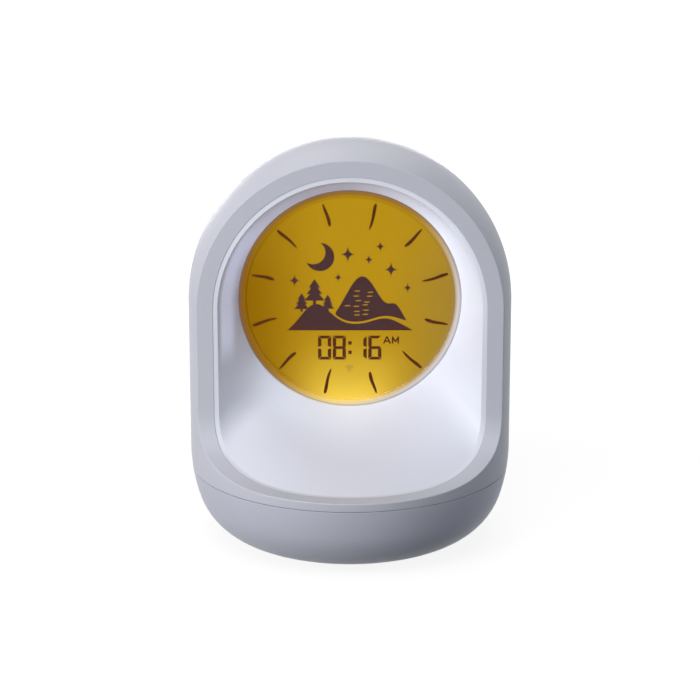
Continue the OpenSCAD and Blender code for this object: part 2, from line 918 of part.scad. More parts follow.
module power_socket() color("#c2c4c8") {
    shell = 0.4;
    depth = panel_y - 0.6 - key_board_back;
    difference() {
        upright_plate(socket_w, socket_h, socket_h / 2 - 0.01,
            key_board_back, key_board_back + depth, socket_z);
        upright_plate(socket_w - 2 * shell, socket_h - 2 * shell, socket_h / 2 - shell - 0.01,
            key_board_back + 2, far, socket_z);
    }
    // contact tongue inside the shell
    block([-3.3, key_board_back + 1, socket_z - 0.35],
        [3.3, key_board_back + depth - 0.8, socket_z + 0.35]);
}

// ================= Speaker =================

module speaker_grille() color("#8a8b98") {
    rings = 4;
    difference() {
        intersection() {
            body_wall(grille_top, grille_top + grille_t);
            bar([0, speaker_z], grille_r - fit, 0, far, fine);
        }
        for (q = [-rings:rings], s = [-rings:rings])
            if (abs(q + s) <= rings)
                bar([grille_pitch * (q + s / 2), speaker_z + grille_pitch * s * sin(60)],
                    grille_hole_r, 0, far, 16);
    }
}

cone_r = speaker_seat_r - 3;
basket_depth = 9;
basket_back = speaker_y - 1.5 - basket_depth;

module speaker_frame() color("#55565c") {
    translate([0, speaker_y, speaker_z]) rotate([90, 0, 0]) difference() {
        union() {
            cylinder(r = speaker_seat_r, h = 1.5, $fn = fine);
            for (a = [90, 210, 330])
                rotate([0, 0, -a]) {
                    translate([0, -3, 0]) cube([speaker_ear_r, 6, 1.5]);
                    translate([speaker_ear_r, 0, 0]) cylinder(r = 3, h = 1.5, $fn = small);
                }
            rotate_extrude($fn = fine)
                polygon([[9, basket_depth], [9, basket_depth + 1.5], [12, basket_depth + 1.5],
                    [cone_r + 2, 1.4], [cone_r + 2, 1], [cone_r, 1]]);
        }
        translate([0, 0, -1]) cylinder(r = cone_r, h = 3, $fn = fine);
        for (a = [90, 210, 330])
            rotate([0, 0, -a]) translate([speaker_ear_r, 0, -1]) cylinder(r = 1.3, h = 4, $fn = small);
    }
}

module speaker_cone() color("#2c2c30") {
    thick = 0.5;
    translate([0, speaker_y, speaker_z]) rotate([90, 0, 0]) rotate_extrude($fn = fine)
        polygon([
            [0, 4.2], [4, 5], [6.5, 6.6], [cone_r - 3, 1.2], [cone_r - 1.5, 0.6],
            [cone_r - fit, 1], [cone_r - fit, 1 + thick], [cone_r - 1.5, 0.6 + thick],
            [cone_r - 3, 1.2 + thick], [6.5, 6.6 + thick], [4, 5 + thick], [0, 4.2 + thick]
        ]);
}

module speaker_magnet() color("#9a9ba0") {
    bar([0, speaker_z], 10.5, basket_back - 1.5 - 5, basket_back - 1.5, fine);
    bar([0, speaker_z], 8.8, basket_back - 1.5, basket_back + 0.8, fine);
}

module speaker_gasket() color("#1f1f22") {
    difference() {
        bar([0, speaker_z], speaker_seat_r + seat_wall, speaker_y, seat_y, fine);
        bar([0, speaker_z], speaker_seat_r - 0.5, 0, far, fine);
        for (place = speaker_ears)
            bar(place, boss_r + 0.2, 0, far);
    }
}

// ================= Electronics in the base =================

module main_board() color("#1f5c44") {
    difference() {
        translate([0, 0, main_board_z]) linear_extrude(board_t)
            round_rect(main_board_w, main_board_d, 4);
        for (x = [-1, 1], y = [-1, 1])
            post([x * standoff_x, y * standoff_y], 1.1, 0, far);
    }
}

module on_board(x, y, size) {
    translate([x - size.x / 2, y - size.y / 2, main_top]) cube(size);
}

module wifi_module() color("#c8cacc") {
    module_size = [18, 17, 0.8];
    can_size = [15.6, 10.6, 2.4];
    x = 18 - board_x;
    y = 13 - board_y;
    on_board(x, y, module_size);
    translate([0, 0, module_size.z]) on_board(x, y + 3, can_size);
}

module main_chips() color("#1c1c1f") {
    on_board(8, -2, [10, 10, 1.4]);
    on_board(board_x - 14, -6, [5, 6, 1.2]);
    on_board(-6, 6, [5, 5, 1]);
    on_board(board_x - 18, 10, [7, 4.4, 1.5]);
}

module capacitors() color("#3d4c7a") {
    places = [[10 - board_x, 8], [20 - board_x, 8], [board_x - 10, 3], [board_x - 8, -8]];
    radii = [4, 4, 3.2, 3.2];
    heights = [9, 9, 7, 7];
    for (i = [0:3])
        post(places[i], radii[i], main_top, main_top + heights[i]);
}

// Plug housings for the dial, the buttons, the speaker and the night light
plug_y = board_y - 9;
plugs = [[6, plug_y, 18, 4], [-9, plug_y, 10, 4], [-25, plug_y, 6, 4], [-4, 17 - board_y, 6, 4]];
plug_h = 5;
dial_plug_z = dome_z - 36;
key_plug_z = socket_z - 3;
plug_t = 3;

module board_connectors() color("#ece7d8") {
    for (p = plugs)
        on_board(p[0], p[1], [p[2], p[3], plug_h]);
    block([plugs[0][0] - plugs[0][2] / 2, web_back + board_t, dial_plug_z],
        [plugs[0][0] + plugs[0][2] / 2, web_back + board_t + plug_t, dial_plug_z + 5]);
    block([plugs[1][0] - 4.5, key_board_back - board_t - plug_t, key_plug_z],
        [plugs[1][0] + 4.5, key_board_back - board_t, key_plug_z + 4]);
}

// Flat ribbon in a side view; points run from one plug to the other
module ribbon(points, width, middle) {
    thick = 0.5;
    translate([middle, 0, 0])
        rotate([90, 0, 90])
            linear_extrude(width, center = true)
                polygon(concat(
                    [for (p = points) p],
                    [for (i = [len(points) - 1:-1:0])
                        let (end = i == 0 || i == len(points) - 1)
                        let (along = end ? [0, -1] : points[i + 1] - points[i - 1])
                        let (d = along / norm(along))
                        points[i] + thick * [d.y, -d.x]]
                ));
}

// Side view of a ribbon that hangs from one plug and stands on the other
function ribbon_path(start, drop, finish, rise) = [
    for (p = curve([start.x, start.y, 0], [0, -drop, 0], [0, rise, 0], [finish.x, finish.y, 0], 14))
        [p.x, p.y]
];

module display_ribbon() color("#dcdde2") {
    start = [web_back + board_t + plug_t / 2, dial_plug_z];
    finish = [plugs[0][1], main_top + plug_h];
    ribbon(ribbon_path(start, 20, finish, 16), 14, plugs[0][0]);
}

module key_ribbon() color("#dcdde2") {
    start = [key_board_back - board_t - plug_t / 2, key_plug_z];
    finish = [plugs[1][1], main_top + plug_h];
    ribbon(ribbon_path(start, 8, finish, 12), 8, plugs[1][0]);
}

// Two wires side by side, from one place to a plug on the main board
module wire_pair(start, leave, plug, arrive) {
    apart = 1.5;
    finish = [plug[0], plug[1], main_top + plug_h];
    for (x = [-apart, apart])
        wire(curve(start + [x, 0, 0], leave, arrive, finish + [x, 0, 0], 16), 0.6);
}

module speaker_wires() color("#b03030") {
    wire_pair([-4, basket_back - 4, speaker_z - 11.5], [-4, 0, -30], plugs[2], [0, 0, 30]);
}

module night_light_wires() color("#e8e8e8") {
    wire_pair([night_wire_x, web_front - night_board_t / 2, dome_z - dial_board_r],
        [0, 0, -12], plugs[3], [0, 0, 14]);
}

// ================= Fasteners =================

module housing_screws() color("#8d8f94") {
    for (place = seam_bosses)
        screw_to_front(place, seam_y + 3 + head_h, screw_r, screw_head_r, head_h, head_h + 3 + 7);
}

module base_screws() color("#8d8f94") {
    for (place = base_posts)
        translate([place[0], place[1], upper_z - 7 - head_h])
            rotate([180, 0, 0])
                screw(screw_r, screw_head_r, head_h, head_h + 7 + 7);
}

module frame_screws() color("#8d8f94") {
    for (a = ear_angles)
        screw_to_front([ear_r * cos(a), dome_z + ear_r * sin(a)], ear_front + ear_t + head_h,
            screw_r, screw_head_r, head_h, head_h + ear_t + 7);
}

module board_screws() color("#c9b06a") {
    for (a = board_screw_angles)
        screw_to_front([board_screw_r * cos(a), dome_z + board_screw_r * sin(a)],
            web_back + board_t + 1.2, 1, 1.9, 1.2, 1.2 + board_t + 3);
}

module key_board_screws() color("#c9b06a") {
    for (place = key_posts)
        screw_to_back(place, key_board_back - board_t - 1.2, 0.9, 1.8, 1.2, 1.2 + board_t + 4);
}

module speaker_screws() color("#8d8f94") {
    for (place = speaker_ears)
        screw_to_back(place, speaker_y - 1.5 - 1.2, 1, 2, 1.2, 1.2 + 1.5 + gasket_t + 4);
}

module main_board_screws() color("#c9b06a") {
    for (x = [-1, 1], y = [-1, 1])
        translate([x * standoff_x, y * standoff_y, main_top + 1.2])
            screw(1, 1.9, 1.2, 1.2 + board_t + 4);
}

front_housing();
rear_cover();
base_cap();
scoop_panel();
rubber_feet();
display_lens();
night_light_ring();
dial_film();
light_guide();
reflector_sheet();
digit_module();
display_frame();
display_board();
backlight_leds();
night_light_board();
night_light_leds();
rear_panel();
speaker_grille();
light_button();
alarm_button();
clock_button();
minus_button();
plus_button();
light_plunger();
alarm_plunger();
clock_plunger();
minus_plunger();
plus_plunger();
switch_bodies();
key_board();
power_socket();
speaker_frame();
speaker_cone();
speaker_magnet();
speaker_gasket();
main_board();
wifi_module();
main_chips();
capacitors();
board_connectors();
display_ribbon();
key_ribbon();
speaker_wires();
night_light_wires();
housing_screws();
base_screws();
frame_screws();
board_screws();
key_board_screws();
speaker_screws();
main_board_screws();
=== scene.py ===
"""Bedside clock with a night light: the finish of every piece, the stage and the camera.

X runs to the right, Y to the back and Z up. Shapes are worked out in
millimetres and made in metres.
"""

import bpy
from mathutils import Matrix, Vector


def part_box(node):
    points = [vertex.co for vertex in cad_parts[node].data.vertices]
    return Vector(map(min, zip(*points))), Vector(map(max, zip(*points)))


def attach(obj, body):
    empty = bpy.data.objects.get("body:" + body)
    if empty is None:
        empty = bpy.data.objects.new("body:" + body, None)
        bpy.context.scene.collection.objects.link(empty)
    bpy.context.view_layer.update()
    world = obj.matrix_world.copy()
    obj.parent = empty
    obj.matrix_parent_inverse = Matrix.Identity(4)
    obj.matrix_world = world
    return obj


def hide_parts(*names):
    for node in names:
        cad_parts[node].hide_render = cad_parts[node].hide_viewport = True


bl_info = {
    "name": "Bedside Clock",
    "version": (1, 0, 0),
    "blender": (4, 5, 0),
    "location": "View3D > Sidebar > Clock",
    "description": "Builds a bedside clock with a lit dial and a night light",
    "category": "Object",
}

from math import acos, asin, atan2, cos, degrees, exp, hypot, pi, radians, sin, sqrt, tan

import bmesh
import bpy
import numpy as np
from bpy.props import FloatProperty, FloatVectorProperty, PointerProperty
from mathutils import Vector, geometry, kdtree

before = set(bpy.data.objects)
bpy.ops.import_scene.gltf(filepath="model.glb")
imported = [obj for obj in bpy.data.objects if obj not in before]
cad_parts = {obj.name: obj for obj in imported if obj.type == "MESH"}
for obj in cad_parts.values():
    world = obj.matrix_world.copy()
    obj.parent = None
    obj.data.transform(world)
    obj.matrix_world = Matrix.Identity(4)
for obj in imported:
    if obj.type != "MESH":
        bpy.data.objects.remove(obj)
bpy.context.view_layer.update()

MM = 0.001


def extent(node):
    """Lowest and highest corner of a construction node, in millimetres."""
    low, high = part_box(node)
    return [round(v / MM, 3) for v in low], [round(v / MM, 3) for v in high]


# ---- Sizes that the construction gives
SHELL_LOW, SHELL_HIGH = extent("front_housing")
LENS_LOW, LENS_HIGH = extent("display_lens")
RING_HIGH = extent("night_light_ring")[1]
FILM_HIGH = extent("dial_film")[1]
PANEL_LOW, PANEL_HIGH = extent("rear_panel")
GRILLE_LOW, GRILLE_HIGH = extent("speaker_grille")

BODY_R = SHELL_HIGH[0]
DOME_Z = SHELL_HIGH[2] - BODY_R
UPPER_Z = SHELL_LOW[2]
SEAM_Y = SHELL_HIGH[1]
LENS_R = LENS_HIGH[0]
LENS_Y = LENS_LOW[1]
RING_FLANGE_R = RING_HIGH[0]

# ---- Body
HEEL_R = 24.4
HEEL_TURN = radians(18)
FOOT_PROUD = 1.2
WALL = 2.4
FIT = 0.15
BASE_TOP_Z = UPPER_Z - 0.2
BELLY_Z = FOOT_PROUD + HEEL_R + (BODY_R - HEEL_R) * sin(HEEL_TURN)
HEEL_X = (BODY_R - HEEL_R) * cos(HEEL_TURN)
HEEL_Z = FOOT_PROUD + HEEL_R
DOME_ARC = BODY_R * pi / 2
STRAIGHT = DOME_Z - BELLY_Z

# ---- Front opening: upright rim, bend, long curve and straight toe
FRONT_Y = 21.3
RIM_W = 5.7
RIM_T = 2.2
BEND_R = 15.8
BEND_TURN = radians(60)
FLARE_R = 55
TOE_SLOPE = radians(4.3)
TOE_Z = 32.1
FLARE_TURN = pi / 2 - TOE_SLOPE
FLARE_MID_Y = -FRONT_Y - BEND_R - (FLARE_R - BEND_R) * cos(BEND_TURN)
FLARE_END_Y = FLARE_MID_Y + FLARE_R * sin(TOE_SLOPE)
BEND_Z = (
    TOE_Z
    + (BODY_R + FLARE_END_Y) * tan(TOE_SLOPE)
    + FLARE_R * cos(TOE_SLOPE)
    - (FLARE_R - BEND_R) * sin(BEND_TURN)
)
BEND_MID_Y = -FRONT_Y - BEND_R
FLARE_MID_Z = BEND_Z + (FLARE_R - BEND_R) * sin(BEND_TURN)

# ---- Scoop and dial
LIP_W = 1.62
LIP_DROP = 0.2
LIP_GAP = 0.02
SCOOP_T = 2
SCOOP_GAP = 0.35
RING_R = LENS_R + 2.25
GUIDE_R = FILM_HIGH[0]
PRINT_Z = DOME_Z - 0.57
DIGIT_Z = -18.5
FILM_Y = LENS_HIGH[1] + 0.05
INK_Y = LENS_HIGH[1] + 0.01

# ---- Back
POCKET_R = 5
PANEL_Z = (PANEL_LOW[2] + PANEL_HIGH[2]) / 2
PANEL_W = PANEL_HIGH[0] * 2
PANEL_H = PANEL_HIGH[2] - PANEL_LOW[2]
PANEL_Y = PANEL_HIGH[1]
PANEL_T = 2
GRILLE_Z = (GRILLE_LOW[2] + GRILLE_HIGH[2]) / 2
GRILLE_R = GRILLE_HIGH[0] + FIT
WELL_R = 3.1
LOW_BOSS = (BODY_R - 28, UPPER_Z + 12.4)
HIGH_BOSS = (22, DOME_Z + BODY_R - 20)
KEYS = ("light", "alarm", "clock", "minus", "plus")
FOOT_CIRCLE_R = 25
FOOT_R = 6
POST_R = 48.1
FRONT_POST_TURN = radians(14)
REAR_POST_TURN = radians(50)
PLATE_SIZE = (30, 16)

# Share of the usual shine that the grained plastics have
SATIN = 0.22

# Features in a metre of the plastics' slow mottle and fine grain
MOTTLE = 45
GRAIN = 5200

# Largest angle between two faces that shade as one, as a cosine
SMOOTH = cos(radians(35))


# ================= Settings =================


class ClockSizes(bpy.types.PropertyGroup):
    """Sizes of the finish that can be changed."""

    rim_round: FloatProperty(
        name="Rim rounding",
        description="Radius of the rim's outer edge",
        default=0.4 * MM,
        min=0.1 * MM,
        max=0.8 * MM,
        unit="LENGTH",
    )
    seam_round: FloatProperty(
        name="Seam rounding",
        description="Radius of the shell edges along the seams",
        default=0.14 * MM,
        min=0.05 * MM,
        max=0.5 * MM,
        unit="LENGTH",
    )
    tick_length: FloatProperty(
        name="Tick length",
        description="Length of a stroke on the dial",
        default=8.9 * MM,
        min=2 * MM,
        max=10 * MM,
        unit="LENGTH",
    )
    digit_height: FloatProperty(
        name="Digit height",
        description="Height of the digits of the time",
        default=9.3 * MM,
        min=6 * MM,
        max=11 * MM,
        unit="LENGTH",
    )


def colour(name, description, default):
    """Colour setting of three channels."""
    return FloatVectorProperty(
        name=name, description=description, default=default, subtype="COLOR", min=0, max=1, size=3
    )


class ClockColours(bpy.types.PropertyGroup):
    """Colours of the clock that can be changed."""

    shell: colour("Shell", "Plastic of the housing", (0.56, 0.567, 0.64))
    # Painted shade: the base is a little darker and bluer than the shell, for the bluish shade low down
    base: colour("Base", "Plastic of the base", (0.53, 0.54, 0.625))
    scoop: colour("Scoop", "Pale plastic round the dial", (0.735, 0.750, 0.840))
    panel: colour("Panel", "Plastic of the button panel", (0.36, 0.37, 0.43))
    button: colour("Buttons", "Plastic of the push buttons", (0.60, 0.61, 0.68))
    amber: colour("Dial", "Colour of the lit dial", (0.468, 0.270, 0.006))
    glow: colour("Dial glow", "Colour of the dial over its lower lamps", (0.95, 0.66, 0.075))
    ink: colour("Ink", "Print in the middle of the dial", (0.062, 0.028, 0.030))
    ink_edge: colour("Outer ink", "Print towards the edge of the dial", (0.092, 0.022, 0.0))
    night: colour("Night light", "Colour of the night light", (0.78, 0.86, 1.0))


def sizes():
    """Sizes that the user has set."""
    return bpy.context.scene.clock_sizes


def colours():
    """Colours that the user has set."""
    return bpy.context.scene.clock_colours


# ================= Materials =================


class Term:
    """Output of a material's node, which can be written in sums and products."""

    def __init__(self, finish, socket):
        self.finish = finish
        self.socket = socket

    def math(self, operation, first, second=None, third=None):
        given = [v for v in (first, second, third) if v is not None]
        return self.finish.node("ShaderNodeMath", dict(enumerate(given)), operation=operation)

    def __add__(self, other):
        return self.math("ADD", self, other)

    def __sub__(self, other):
        return self.math("SUBTRACT", self, other)

    def __rsub__(self, other):
        return self.math("SUBTRACT", other, self)

    def __mul__(self, other):
        return self.math("MULTIPLY", self, other)

    def __truediv__(self, other):
        return self.math("DIVIDE", self, other)

    def __rtruediv__(self, other):
        return self.math("DIVIDE", other, self)

    def __pow__(self, other):
        return self.math("POWER", self, other)

    __radd__ = __add__
    __rmul__ = __mul__

    def root(self):
        return self.math("SQRT", self)

    def most(self, other):
        return self.math("MAXIMUM", self, other)


class Finish:
    """A node material in the making."""

    def __init__(self, name):
        self.material = bpy.data.materials.new(name)
        self.material.use_nodes = True
        self.tree = self.material.node_tree
        self.tree.nodes.clear()
        self.end = self.tree.nodes.new("ShaderNodeOutputMaterial")

    def node(self, kind, inputs=None, output=0, stops=None, **settings):
        """Adds a node, sets it up, gives its sockets values or links, and returns an output."""
        made = self.tree.nodes.new(kind)
        for key, value in settings.items():
            setattr(made, key, value)
        if stops:
            ramp = made.color_ramp
            while len(ramp.elements) < len(stops):
                ramp.elements.new(0.5)
            for element, (place, tint) in zip(ramp.elements, stops):
                element.position = place
                element.color = (*tint, 1)
        for key, value in (inputs or {}).items():
            if isinstance(value, Term):
                self.tree.links.new(value.socket, made.inputs[key])
            elif hasattr(value, "__len__") and made.inputs[key].type == "RGBA":
                made.inputs[key].default_value = (*tuple(value)[:3], 1)
            else:
                made.inputs[key].default_value = value
        return Term(self, made.outputs[output])

    def place(self):
        """Object coordinates of the point, as a vector."""
        return self.node("ShaderNodeTexCoord", output="Object")

    def axes(self, vector):
        """The three parts of a vector, in metres."""
        split = self.node("ShaderNodeSeparateXYZ", {0: vector})
        outputs = split.socket.node.outputs
        return [Term(self, outputs[i]) for i in range(3)]

    def noise(self, scale, detail=2.0, vector=None):
        """Even noise around 0.5; scale is the number of features in a metre."""
        vector = vector or self.place()
        inputs = {"Vector": vector, "Scale": scale, "Detail": detail}
        return self.node("ShaderNodeTexNoise", inputs)

    def ramp(self, value, low, high, start=0.0, stop=1.0):
        """Smooth change from start to stop while value goes from low to high."""
        inputs = {0: value, 1: low, 2: high, 3: start, 4: stop}
        return self.node("ShaderNodeMapRange", inputs, interpolation_type="SMOOTHSTEP")

    def mix(self, factor, first, second):
        """Colour between two colours."""
        inputs = {0: factor, 6: first, 7: second}
        return self.node("ShaderNodeMix", inputs, output=2, data_type="RGBA")

    def shades(self, value, *stops):
        """Colour ramp over a value from 0 to 1."""
        return self.node("ShaderNodeValToRGB", {0: value}, stops=stops)

    def bump(self, height, distance, strength=1.0):
        """Surface relief; distance is its depth in metres."""
        inputs = {"Height": height, "Distance": distance, "Strength": strength}
        return self.node("ShaderNodeBump", inputs)

    def surface(self, **inputs):
        """Ends the material in a Principled shader; words in names are split by underscores."""
        named = {key.replace("_", " ").title(): value for key, value in inputs.items()}
        named = {key.replace("Ior", "IOR"): value for key, value in named.items()}
        shader = self.node("ShaderNodeBsdfPrincipled", named)
        self.tree.links.new(shader.socket, self.end.inputs["Surface"])
        return self.material


def moulded(name, tint, roughness=0.42, grain=1.0):
    """Satin injection-moulded plastic with a fine spark-eroded grain."""
    finish = Finish(name)
    mottle = finish.noise(MOTTLE, 3)
    tone = finish.mix(mottle, [c * 0.975 for c in tint], [min(c * 1.025, 1) for c in tint])
    fine = finish.noise(GRAIN, 2)
    sheen = roughness + (finish.noise(160, 2) - 0.5) * 0.08
    return finish.surface(
        base_color=tone,
        roughness=sheen,
        specular_ior_level=SATIN,
        normal=finish.bump(fine, 0.000012 * grain, 0.5),
    )


def dial_distance(finish):
    """Distance from the dial's axis, the height over it and the place across, in metres."""
    across, _, up = finish.axes(finish.place())
    over = up - DOME_Z * MM
    return (across * across + over * over).root(), over, across


def turn_share(finish, over, across):
    """Place round the dial's axis from 0 to 1: left, below, right, above and left again."""
    turn = finish.node("ShaderNodeMath", {0: over, 1: across}, operation="ARCTAN2")
    return turn / (2 * pi) + 0.5


def grey_stops(*stops):
    """Stops of a ramp without colour."""
    return [(place, (level, level, level)) for place, level in stops]


# Painted light on the scoop, the night light's glow as emission: its strength round the dial, from the left
# over the bottom and the right, and the places in metres between which it fades
HALO_LOW = ((0.0, 0.0), (0.08, 0.0), (0.17, 0.26), (0.25, 0.20), (0.33, 0.0))
HALO_HIGH = ((0.42, 0.0), (0.50, 0.20), (0.60, 0.43), (0.75, 0.10), (0.90, 0.30), (1.0, 0.0))
HALO_FADE = (0.0410, 0.054)
# Places in metres of more painted light on the scoop: a faint glow on the right side, then bluish light on
# the left wall and on the upper wall
RIGHT_FADE = (0.005, 0.045)
WALL_FOOT = (0.0415, 0.0445)
WALL_TOP = (0.0479, 0.0466)
LEFT_SIDE = (-0.030, -0.043)
LEFT_LEVEL = (-0.024, -0.010)
LEFT_PAINTED_LIGHT = (0.38, 0.42, 0.60)
UPPER_LEVEL = (0.0, 0.032)
UPPER_EDGE = (0.0478, 0.0468)
UPPER_PAINTED_LIGHT = (0.32, 0.45, 0.90)


def scoop_plastic():
    """Pale smooth plastic with painted light in its emission: the night light's glow near the ring, and
    more light on its walls.
    """
    tint = colours().scoop
    finish = Finish("scoop_plastic")
    away, over, across = dial_distance(finish)
    share = turn_share(finish, over, across)
    mottle = finish.noise(MOTTLE, 3)
    tone = finish.mix(mottle, [c * 0.985 for c in tint], [min(c * 1.015, 1) for c in tint])
    # Painted light: glow round the ring, set by bearing and fading away from it
    round_ring = finish.shades(share, *grey_stops(*HALO_LOW, *HALO_HIGH))
    halo = round_ring * finish.ramp(away, *HALO_FADE, 1.0, 0.0)
    # Painted light: a faint even glow over the right side
    halo = halo + finish.ramp(across, *RIGHT_FADE) * 0.03
    light = finish.mix(halo, (0, 0, 0), colours().night)
    # Painted light: bluish light on the left wall, from a little below the middle upwards
    raised = over.most(0.0)
    reach = (across * across + raised * raised).root()
    wall = finish.ramp(reach, *WALL_FOOT) * finish.ramp(reach, *WALL_TOP)
    left = wall * finish.ramp(across, *LEFT_SIDE) * finish.ramp(over, *LEFT_LEVEL)
    light = finish.mix(left * 0.43, light, LEFT_PAINTED_LIGHT)
    # Painted light: a faint bluish light on the upper wall next to the ring
    upper = finish.ramp(over, *UPPER_LEVEL) * finish.ramp(away, *UPPER_EDGE)
    light = finish.mix(upper * 0.12, light, UPPER_PAINTED_LIGHT)
    fine = finish.noise(GRAIN, 2)
    return finish.surface(
        base_color=tone,
        roughness=0.38 + (mottle - 0.5) * 0.06,
        specular_ior_level=SATIN,
        normal=finish.bump(fine, 0.00001, 0.4),
        emission_color=light,
        emission_strength=1.0,
    )


# Painted shade at both sides of the dial's light, and the places in metres between which it sets in
DIAL_LEFT = (0.265, 0.120, 0.0)
DIAL_RIGHT = (0.345, 0.215, 0.030)
DIAL_LEFT_FADE = (-0.006, -0.040)
DIAL_RIGHT_FADE = (0.008, 0.042)
DIAL_HEIGHT = (0.040, 0.0)
GLOW_LEVEL = (-0.011, -0.041)
GLOW_WIDTH = (0.030, 0.004)
CORE_LEVEL = (-0.030, -0.040)
CORE_WIDTH = (0.020, 0.002)


def dial_light(finish, over, across):
    """Colour of the dial's light: brightest low down, with painted shade that is browner on the left and
    duller on the right.
    """
    amber = colours().amber
    left = finish.ramp(across, *DIAL_LEFT_FADE) * finish.ramp(over, *DIAL_HEIGHT, 0.55, 1.0)
    right = finish.ramp(across, *DIAL_RIGHT_FADE) * finish.ramp(over, *DIAL_HEIGHT, 0.2, 1.0)
    # Painted shade towards the left and the right of the dial
    tone = finish.mix(left * 0.95, amber, DIAL_LEFT)
    tone = finish.mix(right * 0.9, tone, DIAL_RIGHT)
    wide = (across * across).root()
    low = finish.ramp(over, *GLOW_LEVEL) * finish.ramp(wide, *GLOW_WIDTH)
    core = finish.ramp(over, *CORE_LEVEL) * finish.ramp(wide, *CORE_WIDTH)
    return finish.mix(low * 0.72 + core * 0.28, tone, colours().glow)


def film_amber():
    """Printed film that is lit from behind."""
    finish = Finish("film_amber")
    _, over, across = dial_distance(finish)
    amber = colours().amber
    patches = finish.noise(70, 2)
    tone = finish.mix(patches * 0.08, dial_light(finish, over, across), [c * 0.8 for c in amber])
    return finish.surface(
        base_color=[c * 0.03 for c in amber],
        roughness=0.6,
        specular_ior_level=0.0,
        emission_color=tone,
        emission_strength=1.0,
    )


def ink(name, deep=0.0):
    """Dark print: purple-brown in the middle and redder towards the edge of the dial."""
    finish = Finish(name)
    away, _, _ = dial_distance(finish)
    edge = finish.ramp(away, 0.016, 0.032)
    middle = colours().ink
    outer = colours().ink_edge
    tone = finish.mix(edge.most(deep), middle, outer)
    streaks = finish.noise(900, 2)
    tone = finish.mix(streaks * 0.25, tone, [c * 1.5 for c in middle])
    return finish.surface(
        base_color=[c * 0.05 for c in middle],
        roughness=0.6,
        specular_ior_level=0.0,
        emission_color=tone,
        emission_strength=1.0,
    )


def lens_clear():
    """Clear polycarbonate."""
    finish = Finish("lens_clear")
    rough = finish.noise(60, 2) * 0.006
    return finish.surface(
        base_color=(1.0, 0.995, 0.98),
        roughness=rough,
        ior=1.08,
        transmission_weight=1.0,
    )


# Painted light and shade of the night-light ring: the night light's glow in its frosted plastic where it is
# brightest, painted shade from the wall, and painted shade at its rim
RING_NIGHT_GLOW = (0.60, 0.57, 0.58)
RING_SHADE = (0.19, 0.045, 0.0)
RING_RIM_SHADE = (0.20, 0.15, 0.14)
CLEAR_BAND = (0.0388, 0.0403)
RIM_BAND = (0.0404, 0.0411)


def ring_clear():
    """Light pipe: it carries the dial's light, with the night light's glow painted low on the right,
    painted shade from the wall and painted shade at its edge.
    """
    finish = Finish("ring_clear")
    away, over, across = dial_distance(finish)
    share = turn_share(finish, over, across)
    tone = dial_light(finish, over, across)
    clear_band = finish.ramp(away, *CLEAR_BAND, 0.1, 1.0)
    # Painted light: the night light's glow, low on the right
    night_glow = finish.ramp(share, 0.10, 0.40) * finish.ramp(share, 0.66, 0.47)
    tone = finish.mix(clear_band * night_glow, tone, RING_NIGHT_GLOW)
    # Painted shade: where the scoop's wall shades the ring, above and on the left
    shade = finish.ramp(over, 0.020, 0.040) * 0.55 + finish.ramp(across, -0.020, -0.040) * 0.25
    tone = finish.mix(clear_band * shade, tone, RING_SHADE)
    # Painted shade: a dull band at the ring's outer edge
    rim_shade = finish.ramp(away, *RIM_BAND) * (0.55 - night_glow * 0.25)
    tone = finish.mix(rim_shade, tone, RING_RIM_SHADE)
    glints = finish.noise(500, 2)
    return finish.surface(
        base_color=finish.mix(0.7, tone, (0, 0, 0)),
        roughness=0.16 + glints * 0.06,
        specular_ior_level=0.2,
        emission_color=tone,
        emission_strength=0.8,
    )


def rubber(name, tint):
    """Dull rubber with a fine grain."""
    finish = Finish(name)
    grain = finish.noise(2600, 3)
    tone = finish.mix(finish.noise(300, 2), [c * 0.8 for c in tint], [c * 1.2 for c in tint])
    return finish.surface(
        base_color=tone, roughness=0.78 + grain * 0.12, normal=finish.bump(grain, 0.00003, 0.6)
    )


def metal(name, tint, roughness=0.3, streak=(60, 60, 1200)):
    """Plated metal with fine drawn lines."""
    finish = Finish(name)
    stretch = finish.node("ShaderNodeMapping", {"Vector": finish.place(), "Scale": streak})
    lines = finish.noise(1.0, 3, stretch)
    tone = finish.mix(lines, [c * 0.85 for c in tint], [min(c * 1.1, 1) for c in tint])
    return finish.surface(
        base_color=tone,
        metallic=1.0,
        roughness=roughness + (lines - 0.5) * 0.2,
        normal=finish.bump(lines, 0.000008, 0.4),
    )


def painted(name, tint):
    """Painted sheet metal: a thin even coat with a slight orange peel."""
    finish = Finish(name)
    peel = finish.noise(1400, 2)
    tone = finish.mix(finish.noise(80, 2), [c * 0.95 for c in tint], [c * 1.05 for c in tint])
    return finish.surface(
        base_color=tone, roughness=0.45 + peel * 0.08, normal=finish.bump(peel, 0.00001, 0.5)
    )


def board_green():
    """Circuit board: solder mask over fine copper tracks."""
    finish = Finish("board_green")
    place = finish.place()
    cells = finish.node("ShaderNodeTexVoronoi", {"Vector": place, "Scale": 420.0}, distance="MANHATTAN")
    tracks = finish.ramp(cells, 0.25, 0.30) * finish.ramp(finish.noise(160, 1), 0.45, 0.5)
    tone = finish.mix(tracks, (0.012, 0.10, 0.05), (0.03, 0.19, 0.09))
    return finish.surface(
        base_color=tone, roughness=0.32 + tracks * 0.1, normal=finish.bump(tracks, 0.00003, 0.6)
    )


def paper(name, tint, scale=900):
    """Pressed paper, foam or film: a dull fibre."""
    finish = Finish(name)
    fibre = finish.noise(scale, 4)
    tone = finish.mix(fibre, [c * 0.8 for c in tint], [min(c * 1.15, 1) for c in tint])
    return finish.surface(
        base_color=tone, roughness=0.7 + fibre * 0.15, normal=finish.bump(fibre, 0.00004, 0.5)
    )


